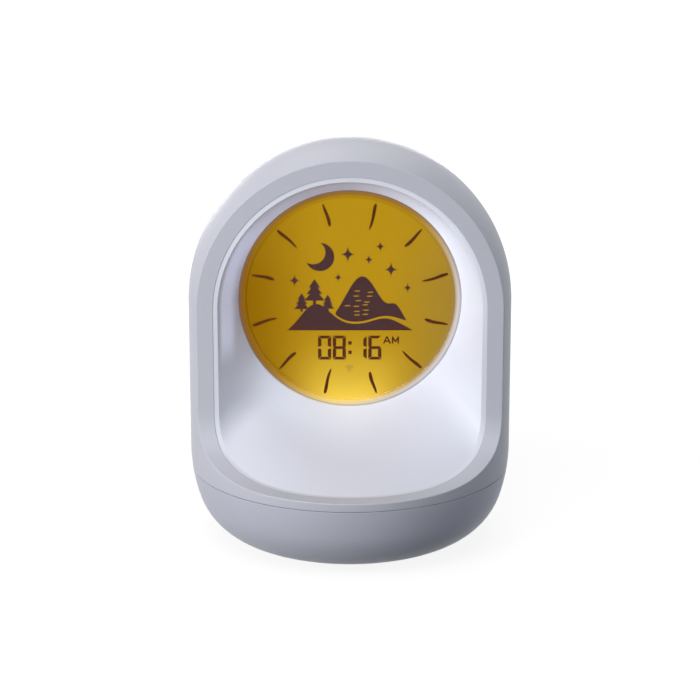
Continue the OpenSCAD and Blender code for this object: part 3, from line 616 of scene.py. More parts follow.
def lit(name, tint, strength):
    """Small lamp or light guide that glows by itself."""
    finish = Finish(name)
    spots = finish.noise(800, 2)
    tone = finish.mix(spots, [c * 0.9 for c in tint], tint)
    return finish.surface(
        base_color=tint, roughness=0.35 + spots * 0.1, emission_color=tone, emission_strength=strength
    )


# ================= Shape of the body =================


def body_rr(z, inset=0.0):
    """Square of the body's radius at height z."""
    over = max(z - DOME_Z, BELLY_Z - z, 0)
    return (BODY_R - inset) ** 2 - over * over


def skin_normal(point):
    """Direction that the outer skin faces at a point above the heel."""
    middle = min(max(point.z, BELLY_Z), DOME_Z)
    return (point - Vector((0, 0, middle))).normalized()


def unroll(point, inset=0.0):
    """Flat place of a point on the skin: its bearing, and its distance from the dome's top."""
    r = BODY_R - inset
    if point.z > DOME_Z:
        run = BODY_R * acos(min((point.z - DOME_Z) / r, 1))
    elif point.z > BELLY_Z:
        run = DOME_ARC + DOME_Z - point.z
    else:
        run = DOME_ARC + STRAIGHT + BODY_R * asin((BELLY_Z - point.z) / r)
    return Vector((point.x, point.y)).normalized() * run


def roll(flat, inset=0.0):
    """Point of the skin at a flat place."""
    run = flat.length
    side = Vector((flat.x, flat.y, 0)) / max(run, 1e-9)
    r = BODY_R - inset
    up = Vector((0, 0, 1))
    if run < DOME_ARC:
        a = run / BODY_R
        return side * r * sin(a) + up * (DOME_Z + r * cos(a))
    if run < DOME_ARC + STRAIGHT:
        return side * r + up * (DOME_Z + DOME_ARC - run)
    a = (run - DOME_ARC - STRAIGHT) / BODY_R
    return side * r * cos(a) + up * (BELLY_Z - r * sin(a))


def cut_turn(z, back=0.0):
    """Turn of the rim's face at height z: 0 where it is upright."""
    bend = (BEND_Z - z) / (BEND_R + back)
    if bend <= 0:
        return 0.0
    if bend < sin(BEND_TURN):
        return asin(bend)
    return asin(min((FLARE_MID_Z - z) / (FLARE_R + back), sin(FLARE_TURN)))


def cut_y(z, back=0.0):
    """Depth of the rim's face at height z; negative is towards the front."""
    turn = cut_turn(z, back)
    if turn == 0:
        return back - FRONT_Y
    if turn < BEND_TURN:
        return BEND_MID_Y + (BEND_R + back) * cos(turn)
    along = FLARE_MID_Y + (FLARE_R + back) * cos(turn)
    past = FLARE_MID_Z - (FLARE_R + back) * sin(FLARE_TURN) - z
    return along - max(past, 0) / tan(TOE_SLOPE)


def cut_normal(z, back=0.0):
    """Direction that the rim's face faces at height z."""
    turn = cut_turn(z, back)
    return Vector((0, -cos(turn), sin(turn)))


def bisect(test, near, away, rounds=34):
    """Place between near and away where the test turns true."""
    for _ in range(rounds):
        middle = (near + away) / 2
        if test(middle):
            away = middle
        else:
            near = middle
    return (near + away) / 2


def edge_point(turn, inset, back):
    """Point where the front cut meets the skin, seen along a turn round the dial."""

    def place(reach):
        z = DOME_Z + reach * sin(turn)
        return Vector((reach * cos(turn), cut_y(z, back), z))

    def outside(reach):
        p = place(reach)
        return p.x**2 + p.y**2 > body_rr(p.z, inset)

    return place(bisect(outside, 0, 2 * BODY_R))


def dial_point(turn, r, y):
    """Point on a circle round the dial's axis."""
    return Vector((r * cos(turn), y, DOME_Z + r * sin(turn)))


# ================= Mesh building =================


class Shape:
    """Points and faces of a mesh, in millimetres, with the way each point faces if known."""

    def __init__(self):
        self.points = []
        self.facing = []
        self.faces = []

    def row(self, samples):
        """Adds points, given as (point, facing), and returns their numbers."""
        first = len(self.points)
        for point, facing in samples:
            self.points.append(Vector(point))
            self.facing.append(facing)
        return list(range(first, len(self.points)))

    def rows(self, table):
        return [self.row(samples) for samples in table]

    def bridge(self, rows, wrap=True, close=False):
        """Faces between rows of as many points; close joins the last row to the first."""
        pairs = list(zip(rows, rows[1:]))
        if close:
            pairs.append((rows[-1], rows[0]))
        for one, two in pairs:
            count = len(one)
            for i in range(count if wrap else count - 1):
                j = (i + 1) % count
                self.faces.append((one[i], one[j], two[j], two[i]))

    def fan(self, row, point, facing=None):
        """Closes a row with faces that meet in one point."""
        hub = self.row([(point, facing)])[0]
        for i, number in enumerate(row):
            self.faces.append((number, row[(i + 1) % len(row)], hub))

    def build(self, name, material, body="case", slot=None, replaces=()):
        """Makes the object, turns its faces outwards and lets it ride on a body."""
        mesh = bpy.data.meshes.new(name)
        mesh.from_pydata([p * MM for p in self.points], [], self.faces)
        solid = bmesh.new()
        solid.from_mesh(mesh)
        bmesh.ops.recalc_face_normals(solid, faces=solid.faces)
        solid.to_mesh(mesh)
        solid.free()
        shade(mesh, self.facing)
        return place_piece(mesh, name, material, body, slot, replaces)


def place_piece(mesh, name, material, body="case", slot=None, replaces=()):
    """Links a mesh as a named piece with its material, body and stood-for nodes; slot is not used."""
    mesh.name = name
    mesh.materials.clear()
    mesh.materials.append(material)
    piece = bpy.data.objects.new(name, mesh)
    bpy.context.scene.collection.objects.link(piece)
    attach(piece, body)
    if replaces:
        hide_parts(*replaces)
    return piece


def shade(mesh, facing=None):
    """Sets corner normals: the known facing, or the mean of the faces that lie nearly alike."""
    count = len(mesh.polygons)
    normal = np.zeros(count * 3)
    mesh.polygons.foreach_get("normal", normal)
    normal = normal.reshape(-1, 3)
    area = np.zeros(count)
    mesh.polygons.foreach_get("area", area)
    around = [[] for _ in mesh.vertices]
    for polygon in mesh.polygons:
        for vertex in polygon.vertices:
            around[vertex].append(polygon.index)
    corners = []
    for polygon in mesh.polygons:
        own = normal[polygon.index]
        for vertex in polygon.vertices:
            known = facing[vertex] if facing else None
            if known is not None and known.dot(Vector(own)) > SMOOTH:
                corners.append(tuple(known))
                continue
            near = around[vertex]
            alike = normal[near] @ own > SMOOTH
            total = (normal[near] * (area[near] * alike)[:, None]).sum(0)
            corners.append(tuple(total / (np.linalg.norm(total) or 1)))
    mesh.polygons.foreach_set("use_smooth", [True] * count)
    mesh.normals_split_custom_set(corners)
    mesh.update()


def round_edge(edge, first, second, r, steps=4):
    """Samples of a rounding between two faces, given the edge and the way both face."""
    middle = edge - (first + second) * r / (1 + first.dot(second))
    return [
        (middle + way * r, way)
        for way in (first.slerp(second, k / steps) for k in range(steps + 1))
    ]


def inside(points, loop):
    """Which of the points lie in a closed loop."""
    x, y = points[:, 0], points[:, 1]
    found = np.zeros(len(points), bool)
    ends = np.roll(loop, -1, axis=0)
    for (ax, ay), (bx, by) in zip(loop, ends):
        if ay == by:
            continue
        crosses = (ay > y) != (by > y)
        found ^= crosses & (x < (bx - ax) * (y - ay) / (by - ay) + ax)
    return found


def fill(shape, loops, seeds=(), lift=None, gap=0.0):
    """Covers the area inside the first loop and outside the others with triangles.

    A loop is (numbers, flat places) of points that the shape has already. Seeds
    are flat places of more points, which lift turns into (point, facing)."""
    flat = [Vector(p) for _, places in loops for p in places]
    numbers = [n for row, _ in loops for n in row]
    edges = []
    for _, places in loops:
        first = len(edges)
        count = len(places)
        edges += [(first + i, first + (i + 1) % count) for i in range(count)]
    tree = kdtree.KDTree(len(flat))
    for i, p in enumerate(flat):
        tree.insert((p.x, p.y, 0), i)
    tree.balance()
    outlines = [np.array([tuple(p) for p in places]) for _, places in loops]

    def kept(points):
        good = inside(points, outlines[0])
        for hole in outlines[1:]:
            good &= ~inside(points, hole)
        return good

    if seeds:
        seeds = [s for s, good in zip(seeds, kept(np.array(seeds))) if good]
        seeds = [Vector(s) for s in seeds if tree.find((s[0], s[1], 0))[2] > gap]
        numbers += shape.row([lift(s) for s in seeds])
        flat += seeds
    made = geometry.delaunay_2d_cdt(flat, edges, [], 0, 1e-7)
    places, faces = made[0], made[2]
    middles = np.array([sum((places[i] for i in f), Vector((0, 0))) / len(f) for f in faces])
    for face, good in zip(faces, kept(middles)):
        if good:
            shape.faces.append(tuple(numbers[i] for i in face))


def circle(mid, r, count):
    """Flat places on a circle, with the way out of it."""
    turns = [2 * pi * i / count for i in range(count)]
    return [
        (Vector((mid[0] + r * cos(t), mid[1] + r * sin(t))), Vector((cos(t), sin(t)))) for t in turns
    ]


def round_rect(mid, w, h, r, arc=8, along=10):
    """Flat places on a rectangle with round corners, with the way out of it."""
    made = []
    for quarter in range(4):
        sx = (1, -1, -1, 1)[quarter]
        sy = (1, 1, -1, -1)[quarter]
        hub = Vector((mid[0] + sx * (w / 2 - r), mid[1] + sy * (h / 2 - r)))
        for i in range(arc + 1):
            turn = (quarter + i / arc) * pi / 2
            way = Vector((cos(turn), sin(turn)))
            made.append((hub + way * r, way))
        side = h if quarter % 2 else w
        way = made[-1][1]
        run = (side - 2 * r) / along
        start = made[-1][0]
        ahead = Vector((-way.y, way.x))
        for i in range(1, along):
            made.append((start + ahead * run * i, way))
    return made


def lathe(profile, r_axis, count=192, poles=False):
    """Shape turned round the dial's axis from (radius, y) places; closed, or with two poles."""
    shape = Shape()
    turns = [2 * pi * i / count for i in range(count)]
    inner = profile[1:-1] if poles else profile
    rows = shape.rows([[(dial_point(t, r, y), None) for t in turns] for r, y in inner])
    shape.bridge(rows, close=not poles)
    if poles:
        shape.fan(rows[0], (0, profile[0][1], r_axis))
        shape.fan(rows[-1], (0, profile[-1][1], r_axis))
    return shape


def arc(mid, r, start, stop, steps=4):
    """Places on an arc between two angles in degrees."""
    turns = [radians(start + (stop - start) * k / steps) for k in range(steps + 1)]
    return [(mid[0] + r * cos(t), mid[1] + r * sin(t)) for t in turns]


# ================= Shells =================

# Where the fan that spans the front shell starts, on the unrolled skin
FAN_Y = -90

# Rows of points across each part of a shell's section
SKIN_ROWS = 30
INNER_ROWS = 8
FACE_ROWS = 6

# Points round the rear shell's edge: dome, each side, and half of the foot
DOME_STEPS = 120
SIDE_STEPS = 36
HALF_STEPS = 30

# Spacing of the points on a skin, how far they stay from its edges, and how far
# round the body they reach, in degrees
SKIN_STEP = 2.2
SKIN_GAP = 0.9
INNER_STEP = 5
INNER_GAP = 2
SPREAD = 70

# Small roundings and depths of the shells
BOSS_R = 3.5
BOSS_LENGTH = 10
WELL_DEPTH = 3
WELL_ROUND = 0.3
HOLE_ROUND = 0.35
LEDGE = 1.5
GRILLE_SEAT = 1.7
GRILLE_BACK = 3.6
GRILLE_WALL = 2


def fan_place(turn, reach):
    """Flat place on a ray of the fan that spans the front shell."""
    return Vector((reach * cos(turn), FAN_Y + reach * sin(turn)))


def fan_reach(turn, inset, near):
    """Reach along the fan at which the front shell ends, at the seam or at the base."""

    def past(reach):
        p = roll(fan_place(turn, reach), inset)
        return p.y > SEAM_Y or p.z < UPPER_Z

    return bisect(past, near, 4 * BODY_R)


def corner_turn():
    """Turn of the fan at the corner where the seam meets the base."""
    x = sqrt(body_rr(UPPER_Z) - SEAM_Y**2)
    flat = unroll(Vector((x, SEAM_Y, UPPER_Z)))
    return atan2(flat.y - FAN_Y, flat.x)


def housing_section(turn, corner):
    """Closed section through the front shell, from the rim's edge over the skin to the seam."""
    rim_r, seam_r = sizes().rim_round / MM, sizes().seam_round / MM

    def uncut(reach):
        p = roll(fan_place(turn, reach))
        return p.y > cut_y(p.z)

    near = bisect(uncut, 0, 2.4 * BODY_R)
    edge = roll(fan_place(turn, near))
    look = atan2(edge.z - DOME_Z, edge.x)
    end = roll(fan_place(turn, fan_reach(turn, 0, near)))
    at_seam = end.y > SEAM_Y - 1e-4
    way = Vector((0, 1, 0)) if at_seam else Vector((0, 0, -1))
    if corner:
        way = Vector((0, 1, -1)).normalized()
    section = round_edge(edge, cut_normal(edge.z), skin_normal(edge), rim_r)
    seam = round_edge(end, skin_normal(end), way, seam_r)
    start, stop = unroll(section[-1][0]), unroll(seam[0][0])
    for k in range(1, SKIN_ROWS):
        point = roll(start.lerp(stop, k / SKIN_ROWS))
        section.append((point, skin_normal(point)))
    section += seam
    inner_end = roll(fan_place(turn, fan_reach(turn, WALL, near)), WALL)
    rim_back = edge_point(look, WALL, RIM_T)
    start, stop = unroll(inner_end, WALL), unroll(rim_back, WALL)
    for k in range(INNER_ROWS + 1):
        point = roll(start.lerp(stop, k / INNER_ROWS), WALL)
        section.append((point, -skin_normal(point)))
    back_edge = edge_point(look, RIM_W, RIM_T)
    section.append((back_edge, -cut_normal(back_edge.z, RIM_T)))
    inner = edge_point(look, RIM_W, 0)
    section += round_edge(inner, -skin_normal(inner), cut_normal(inner.z), 0.15, 2)
    for k in range(1, FACE_ROWS):
        point = edge_point(look, RIM_W * (1 - k / FACE_ROWS), 0)
        section.append((point, cut_normal(point.z)))
    return section


def bar(shape, mid, r, low, high, axis="Y", count=32):
    """Adds a closed round boss between two depths along Y or Z."""
    spots = circle(mid, r, count)

    def raised(v, depth):
        return (v.x, depth, v.y) if axis == "Y" else (v.x, v.y, depth)

    rows = shape.rows([[(raised(v, d), None) for v, _ in spots] for d in (low, high)])
    shape.bridge(rows)
    for row, d in zip(rows, (low, high)):
        shape.fan(row, raised(Vector(mid), d))


def front_housing():
    """Front shell: dome, sides, rim round the opening and the edges along the seams."""
    corner = corner_turn()
    step = radians(1)
    turns = [i * step - pi / 2 for i in range(360)]
    special = (corner, pi - corner)
    for exact in special:
        nearest = min(range(len(turns)), key=lambda i: abs(turns[i] - exact))
        turns[nearest] = exact
    sections = [housing_section(t, t in special) for t in turns]
    shape = Shape()
    rows = shape.rows([list(samples) for samples in zip(*sections)])
    shape.bridge(rows, close=True)
    for side in (1, -1):
        for x, z in (LOW_BOSS, HIGH_BOSS):
            bar(shape, (side * x, z), BOSS_R, SEAM_Y - BOSS_LENGTH, SEAM_Y)
    shape.build(
        "front_shell",
        moulded("housing_plastic", colours().shell),
        slot="housing_plastic",
        replaces=["front_housing"],
    )


def rear_skin(flat, inset=0.0):
    """Point and facing of the back of the body over a place across and up."""
    y = sqrt(max(body_rr(flat[1], inset) - flat[0] ** 2, 0))
    point = Vector((flat[0], y, flat[1]))
    return point, skin_normal(point)


def rear_outline(inset):
    """Places round the rear shell's edge, with the way that its end face faces."""
    seam, base = Vector((0, -1, 0)), Vector((0, 0, -1))
    reach = sqrt((BODY_R - inset) ** 2 - SEAM_Y**2)
    made = []
    for i in range(DOME_STEPS + 1):
        turn = pi * i / DOME_STEPS
        made.append((reach * cos(turn), DOME_Z + reach * sin(turn), seam))
    side = [DOME_Z + (UPPER_Z - DOME_Z) * i / SIDE_STEPS for i in range(1, SIDE_STEPS + 1)]
    for z in side:
        way = (seam + base).normalized() if z == side[-1] else seam
        made.append((-sqrt(body_rr(z, inset) - SEAM_Y**2), z, way))
    width = sqrt(body_rr(UPPER_Z, inset) - SEAM_Y**2)
    made += [(width * (i / HALF_STEPS - 1), UPPER_Z, base) for i in range(1, 2 * HALF_STEPS)]
    first = DOME_STEPS + 1
    made += [(-x, z, way) for x, z, way in reversed(made[first : first + SIDE_STEPS])]
    return made


def ring_seeds(step):
    """Flat places spread over the back of the dome and the sides below it."""
    made = [(0.0, DOME_Z)]
    rings = int(SPREAD / degrees(step / BODY_R))
    for k in range(1, rings + 1):
        r = BODY_R * sin(radians(SPREAD) * k / rings)
        count = max(6, int(pi * r / step))
        made += [
            (r * cos(pi * i / count), DOME_Z + r * sin(pi * i / count)) for i in range(count + 1)
        ]
    rows = int((DOME_Z - UPPER_Z) / step)
    across = int(radians(2 * SPREAD) * BODY_R / step)
    for j in range(1, rows + 1):
        z = DOME_Z + (UPPER_Z - DOME_Z) * j / rows
        shift = 0.5 * (j % 2)
        made += [
            (BODY_R * sin(radians(SPREAD) * (2 * (i + shift) / across - 1)), z) for i in range(across)
        ]
    return made


def hole_rows(shape, spots, skin, r):
    """Rounded edge of a hole through the back skin; gives its rows, the skin's row first."""
    edges = []
    for flat, out in spots:
        point, facing = skin(flat)
        edges.append(round_edge(point, facing, Vector((-out.x, 0, -out.y)), r))
    return shape.rows([list(samples) for samples in zip(*edges)])


def flat_of(shape, row):
    """Flat places, across and up, of a row of points."""
    return [(shape.points[n].x, shape.points[n].z) for n in row]


def rear_cover():
    """Rear shell with the button pocket, the grille's hole and the screw wells."""
    shape = Shape()
    seam_r = sizes().seam_round / MM
    edges = []
    for x, z, way in rear_outline(0):
        point, facing = rear_skin((x, z))
        edges.append(round_edge(point, facing, way, seam_r))
    rim = shape.rows([list(samples) for samples in zip(*edges)])
    inner_rim = shape.row(
        [((x, sqrt(max(body_rr(z, WALL) - x * x, 0)), z), way) for x, z, way in rear_outline(WALL)]
    )
    shape.bridge(rim + [inner_rim])

    pocket = round_rect((0, PANEL_Z), PANEL_W + 2 * FIT, PANEL_H + 2 * FIT, POCKET_R)
    ledge = round_rect((0, PANEL_Z), PANEL_W - 2 * LEDGE, PANEL_H - 2 * LEDGE, POCKET_R - LEDGE)
    box = round_rect((0, PANEL_Z), PANEL_W + 2 * WALL, PANEL_H + 2 * WALL, POCKET_R + WALL)
    seat_y = PANEL_Y - PANEL_T
    pocket_rows = hole_rows(shape, pocket, rear_skin, HOLE_ROUND)
    levels = ((pocket, seat_y), (ledge, seat_y), (ledge, seat_y - WALL), (box, seat_y - WALL))
    deeper = shape.rows([[((v.x, y, v.y), None) for v, _ in spots] for spots, y in levels])
    box_top = shape.row([(rear_skin(v, WALL)[0], None) for v, _ in box])
    shape.bridge(pocket_rows + deeper + [box_top])

    hole = circle((0, GRILLE_Z), GRILLE_R, 96)
    hole_edge = hole_rows(shape, hole, rear_skin, HOLE_ROUND)
    steps = (
        (GRILLE_R, GRILLE_SEAT),
        (GRILLE_R - LEDGE, GRILLE_SEAT),
        (GRILLE_R - LEDGE, GRILLE_BACK),
        (GRILLE_R + GRILLE_WALL, GRILLE_BACK),
    )
    deeper = shape.rows(
        [
            [(rear_skin(v, inset)[0], None) for v, _ in circle((0, GRILLE_Z), r, 96)]
            for r, inset in steps
        ]
    )
    seat_top = shape.row(
        [(rear_skin(v, WALL)[0], None) for v, _ in circle((0, GRILLE_Z), GRILLE_R + GRILLE_WALL, 96)]
    )
    shape.bridge(hole_edge + deeper + [seat_top])

    loops = [(rim[0], flat_of(shape, rim[0]))]
    for row in (pocket_rows[0], hole_edge[0]):
        loops.append((row, flat_of(shape, row)))
    for side in (1, -1):
        for x, z in (LOW_BOSS, HIGH_BOSS):
            spots = circle((side * x, z), WELL_R, 32)
            well = hole_rows(shape, spots, rear_skin, WELL_ROUND)
            floor = shape.row([((v.x, SEAM_Y + WELL_DEPTH, v.y), None) for v, _ in spots])
            shape.bridge(well + [floor])
            shape.fan(floor, (side * x, SEAM_Y + WELL_DEPTH, z))
            loops.append((well[0], flat_of(shape, well[0])))
    fill(shape, loops, ring_seeds(SKIN_STEP), rear_skin, SKIN_GAP)

    def inner_skin(flat):
        point, facing = rear_skin(flat, WALL)
        return point, -facing

    shrink = (BODY_R - WALL) / BODY_R
    seeds = [
        (x * shrink, DOME_Z + (z - DOME_Z) * (shrink if z > DOME_Z else 1))
        for x, z in ring_seeds(INNER_STEP)
    ]
    rows = (inner_rim, box_top, seat_top)
    fill(shape, [(row, flat_of(shape, row)) for row in rows], seeds, inner_skin, INNER_GAP)
    shape.build(
        "rear_shell",
        moulded("rear_plastic", colours().shell),
        slot="rear_plastic",
        replaces=["rear_cover"],
    )


# ---- Base

HEEL_ARC = HEEL_R * (pi / 2 - HEEL_TURN)
BASE_COUNT = 288
BASE_RINGS = 34
HEEL_ROWS = 10
SCREW_SEAT_Z = UPPER_Z - 7
FOOT_SEAT = 0.8
PLATE_DEPTH = 0.3
TONGUE_T = 1.3
TONGUE_STEPS = 40
TONGUE_START = -4
TONGUE_RUN = 68
TONGUE_LOW = 3
TONGUE_HIGH = 2.5


def base_skin(flat, inset=0.0):
    """Point and facing of the base at a flat place round the middle of its underside."""
    flat = Vector(flat)
    run = flat.length
    side = Vector((flat.x, flat.y, 0)) / max(run, 1e-9)
    up = Vector((0, 0, 1))
    if run <= HEEL_X:
        return side * run + up * (FOOT_PROUD + inset), -up
    if run <= HEEL_X + HEEL_ARC:
        turn = (run - HEEL_X) / HEEL_R
        way = side * sin(turn) - up * cos(turn)
        return side * HEEL_X + up * HEEL_Z + way * (HEEL_R - inset), way
    turn = HEEL_TURN - (run - HEEL_X - HEEL_ARC) / BODY_R
    way = side * cos(turn) - up * sin(turn)
    return up * BELLY_Z + way * (BODY_R - inset), way


def base_flat(point):
    """Flat place of a point of the base."""
    out = hypot(point.x, point.y)
    side = Vector((point.x, point.y)) / max(out, 1e-9)
    if point.z < HEEL_Z and out <= HEEL_X:
        return side * out
    belly = (BELLY_Z - point.z) / BODY_R
    if belly < sin(HEEL_TURN):
        return side * (HEEL_X + HEEL_ARC + BODY_R * (HEEL_TURN - asin(belly)))
    return side * (HEEL_X + HEEL_R * atan2(out - HEEL_X, HEEL_Z - point.z))


def plan_point(v):
    """Point of the base's underside over a place in plan."""
    out = v.length
    if out <= HEEL_X:
        return Vector((v.x, v.y, FOOT_PROUD)), Vector((0, 0, -1))
    turn = asin(min((out - HEEL_X) / HEEL_R, 1))
    way = Vector((v.x / out * sin(turn), v.y / out * sin(turn), -cos(turn)))
    mid = Vector((v.x / out * HEEL_X, v.y / out * HEEL_X, HEEL_Z))
    return mid + way * HEEL_R, way


def base_cup(shape, spots, mid, r, floor_z):
    """Sunk place in the underside; gives its row on the skin."""
    edges = []
    for v, out in spots:
        point, facing = plan_point(v)
        edges.append(round_edge(point, facing, Vector((-out.x, -out.y, 0)), r))
    rows = shape.rows([list(samples) for samples in zip(*edges)])
    floor = shape.row([((v.x, v.y, floor_z), None) for v, _ in spots])
    shape.bridge(rows + [floor])
    shape.fan(floor, (mid[0], mid[1], floor_z))
    return rows[0]


def base_places():
    """Places of the base's screw wells in plan."""
    made = []
    for side in (1, -1):
        for turn, sign in ((FRONT_POST_TURN, -1), (REAR_POST_TURN, 1)):
            made.append((side * POST_R * cos(turn), sign * POST_R * sin(turn)))
    return made


def foot_places():
    """Places of the four feet in plan."""
    reach = FOOT_CIRCLE_R * sqrt(0.5)
    return [(x * reach, y * reach) for x in (1, -1) for y in (1, -1)]


def base_cap():
    """Base: belly, heel and underside with its wells, the feet's seats and the bare recess."""
    shape = Shape()
    turns = [2 * pi * i / BASE_COUNT for i in range(BASE_COUNT)]
    top_r = sqrt(body_rr(BASE_TOP_Z))
    inner_r = sqrt(body_rr(BASE_TOP_Z, WALL))
    up = Vector((0, 0, 1))
    edges = []
    for t in turns:
        point = Vector((top_r * cos(t), top_r * sin(t), BASE_TOP_Z))
        edges.append(round_edge(point, skin_normal(point), up, sizes().seam_round / MM))
    rim = shape.rows([list(samples) for samples in zip(*edges)])
    runs = [HEEL_X + HEEL_ARC + k * SKIN_STEP for k in (3, 1)]
    runs += [HEEL_X + HEEL_ARC * k / HEEL_ROWS for k in range(HEEL_ROWS, -1, -1)] + [HEEL_X / 2]
    inner = [[(Vector((inner_r * cos(t), inner_r * sin(t), BASE_TOP_Z)), up) for t in turns]]
    for run in runs:
        inner.append([])
        for t in turns:
            point, facing = base_skin((run * cos(t), run * sin(t)), WALL)
            inner[-1].append((point, -facing))
    inner_rows = shape.rows(inner)
    shape.bridge(rim + inner_rows)
    shape.fan(inner_rows[-1], (0, 0, FOOT_PROUD + WALL))
    loops = [rim[0]]
    for mid in base_places():
        loops.append(base_cup(shape, circle(mid, WELL_R, 32), mid, WELL_ROUND, SCREW_SEAT_Z))
    for mid in foot_places():
        loops.append(base_cup(shape, circle(mid, FOOT_R + FIT, 48), mid, 0.2, FOOT_PROUD + FOOT_SEAT))
    plate = round_rect((0, 0), *PLATE_SIZE, 2, 6, 8)
    loops.append(base_cup(shape, plate, (0, 0), 0.12, FOOT_PROUD + PLATE_DEPTH))
    total = HEEL_X + HEEL_ARC + BODY_R * (HEEL_TURN - asin((BELLY_Z - BASE_TOP_Z) / BODY_R))
    seeds = [(0.01, 0.0)]
    for k in range(1, BASE_RINGS):
        run = total * k / BASE_RINGS
        around = max(6, int(2 * pi * min(run, BODY_R) / SKIN_STEP))
        seeds += [
            (run * cos(2 * pi * (i + k / 2) / around), run * sin(2 * pi * (i + k / 2) / around))
            for i in range(around)
        ]
    flats = [(row, [tuple(base_flat(shape.points[n])) for n in row]) for row in loops]
    fill(shape, flats, seeds, base_skin, SKIN_GAP)
    for sign in (1, -1):
        tongue(shape, sign)
    shape.build(
        "base_shell",
        moulded("base_plastic", colours().base),
        slot="base_plastic",
        replaces=["base_cap"],
    )


def tongue(shape, sign):
    """Part of the band that stands inside the upper shells, on one side."""
    outer, inner = WALL + FIT, WALL + FIT + TONGUE_T
    rows = []
    low, high = BASE_TOP_Z - TONGUE_LOW, UPPER_Z + TONGUE_HIGH
    for i in range(TONGUE_STEPS + 1):
        turn = radians(TONGUE_START + TONGUE_RUN * i / TONGUE_STEPS)
        side = Vector((sign * cos(turn), sin(turn), 0))
        corners = ((outer, low), (outer, high), (inner, high), (inner, low))
        rows.append([(side * sqrt(body_rr(z, d)) + Vector((0, 0, z)), None) for d, z in corners])
    rows = shape.rows(rows)
    shape.bridge(rows)
    shape.faces += [tuple(rows[0]), tuple(rows[-1])]


# ================= Scoop and dial =================

LOFT_ROWS = 18

# Roundings of the scoop panel, where its wall starts past them, and its hidden edge
EDGE_ROUND = 0.04
LIP_ROUND = 0.3
SCOOP_HOLE_ROUND = 0.2
LOFT_END = 0.5
SCOOP_FLANGE = 0.8
SCOOP_FOOT = 1
TURN_STEP = 1e-3

# Profiles of the lens and the ring
LENS_FLAT = 1.2
LENS_ROUND = 0.45
LENS_BACK_ROUND = 0.1
RING_INNER_ROUND = 0.35
RING_OUTER_ROUND = 0.75


def scoop_section(turn):
    """Closed section of the scoop: lip, wall down to the ring, and back."""
    outer = edge_point(turn, RIM_W + LIP_GAP, LIP_DROP)
    lip = edge_point(turn, RIM_W + LIP_W, LIP_DROP)
    ring = dial_point(turn, RING_R + FIT, LENS_Y)
    lip_way = cut_normal(lip.z, LIP_DROP)
    lip_on = edge_point(turn + TURN_STEP, RIM_W + LIP_W, LIP_DROP)
    ring_on = dial_point(turn + TURN_STEP, RING_R + FIT, LENS_Y)

    def wall_way(t):
        along = ring - lip
        across = lip_on.lerp(ring_on, t) - lip.lerp(ring, t)
        way = along.cross(across).normalized()
        return way if way.y < 0 or way.dot(lip_way) > 0 else -way

    section = round_edge(outer, skin_normal(outer), cut_normal(outer.z, LIP_DROP), EDGE_ROUND, 2)
    section.append((outer.lerp(lip, 0.5), lip_way))
    section += round_edge(lip, lip_way, wall_way(0), LIP_ROUND, 4)
    span = (ring - lip).length
    first, last = LOFT_END / span, 1 - LOFT_END / span
    for k in range(LOFT_ROWS + 1):
        t = first + (last - first) * k / LOFT_ROWS
        section.append((lip.lerp(ring, t), wall_way(t)))
    hole_way = Vector((-cos(turn), 0, -sin(turn)))
    section += round_edge(ring, wall_way(1), hole_way, SCOOP_HOLE_ROUND, 3)
    rear = dial_point(turn, RING_R + FIT + SCOOP_T, LENS_Y + SCOOP_T)
    under = edge_point(turn, RIM_W + FIT + SCOOP_FOOT, RIM_T + SCOOP_T)
    flange = WALL + SCOOP_FLANGE
    seat = RIM_T + SCOOP_GAP
    hidden = [dial_point(turn, RING_R + FIT, LENS_Y + SCOOP_T)]
    hidden += [rear.lerp(under, k / 4) for k in range(5)]
    hidden += [edge_point(turn, flange, RIM_T + SCOOP_T), edge_point(turn, flange, seat)]
    hidden += [edge_point(turn, RIM_W + LIP_GAP, seat)]
    return section + [(point, None) for point in hidden]


def scoop_panel():
    """Pale panel that runs from the rim down to the dial's ring."""
    shape = Shape()
    sections = [scoop_section(radians(i)) for i in range(360)]
    rows = shape.rows([list(samples) for samples in zip(*sections)])
    shape.bridge(rows, close=True)
    shape.build("scoop", scoop_plastic(), slot="scoop_plastic", replaces=["scoop_panel"])


def display_lens():
    """Clear cover of the dial with a rounded front edge."""
    back = LENS_HIGH[1]
    profile = [(0, LENS_Y), (LENS_R * 0.5, LENS_Y), (LENS_R - LENS_FLAT, LENS_Y)]
    profile += arc((LENS_R - LENS_ROUND, LENS_Y + LENS_ROUND), LENS_ROUND, 270, 360)
    profile += arc((LENS_R - LENS_BACK_ROUND, back - LENS_BACK_ROUND), LENS_BACK_ROUND, 0, 90, 2)
    profile += [(LENS_R * 0.5, back), (0, back)]
    lathe(profile, DOME_Z, 240, poles=True).build(
        "lens", lens_clear(), slot="lens_clear", replaces=["display_lens"]
    )


def night_light_ring():
    """Light pipe round the lens: crowned front, shoulder behind the lens, flange at the back."""
    inner = LENS_R + FIT / 2
    back = RING_HIGH[1]
    shoulder = LENS_HIGH[1]
    small, large = RING_INNER_ROUND, RING_OUTER_ROUND
    profile = arc((inner + small, LENS_Y + small), small, 180, 270)
    profile += arc((RING_R - large, LENS_Y + large), large, 270, 360, 6)
    profile += [(RING_R, LENS_Y + SCOOP_T), (RING_FLANGE_R, LENS_Y + SCOOP_T)]
    profile += [(RING_FLANGE_R, back), (GUIDE_R + FIT, back), (GUIDE_R + FIT, shoulder), (inner, shoulder)]
    lathe(profile, DOME_Z, 240).build(
        "light_ring", ring_clear(), slot="ring_clear", replaces=["night_light_ring"]
    )


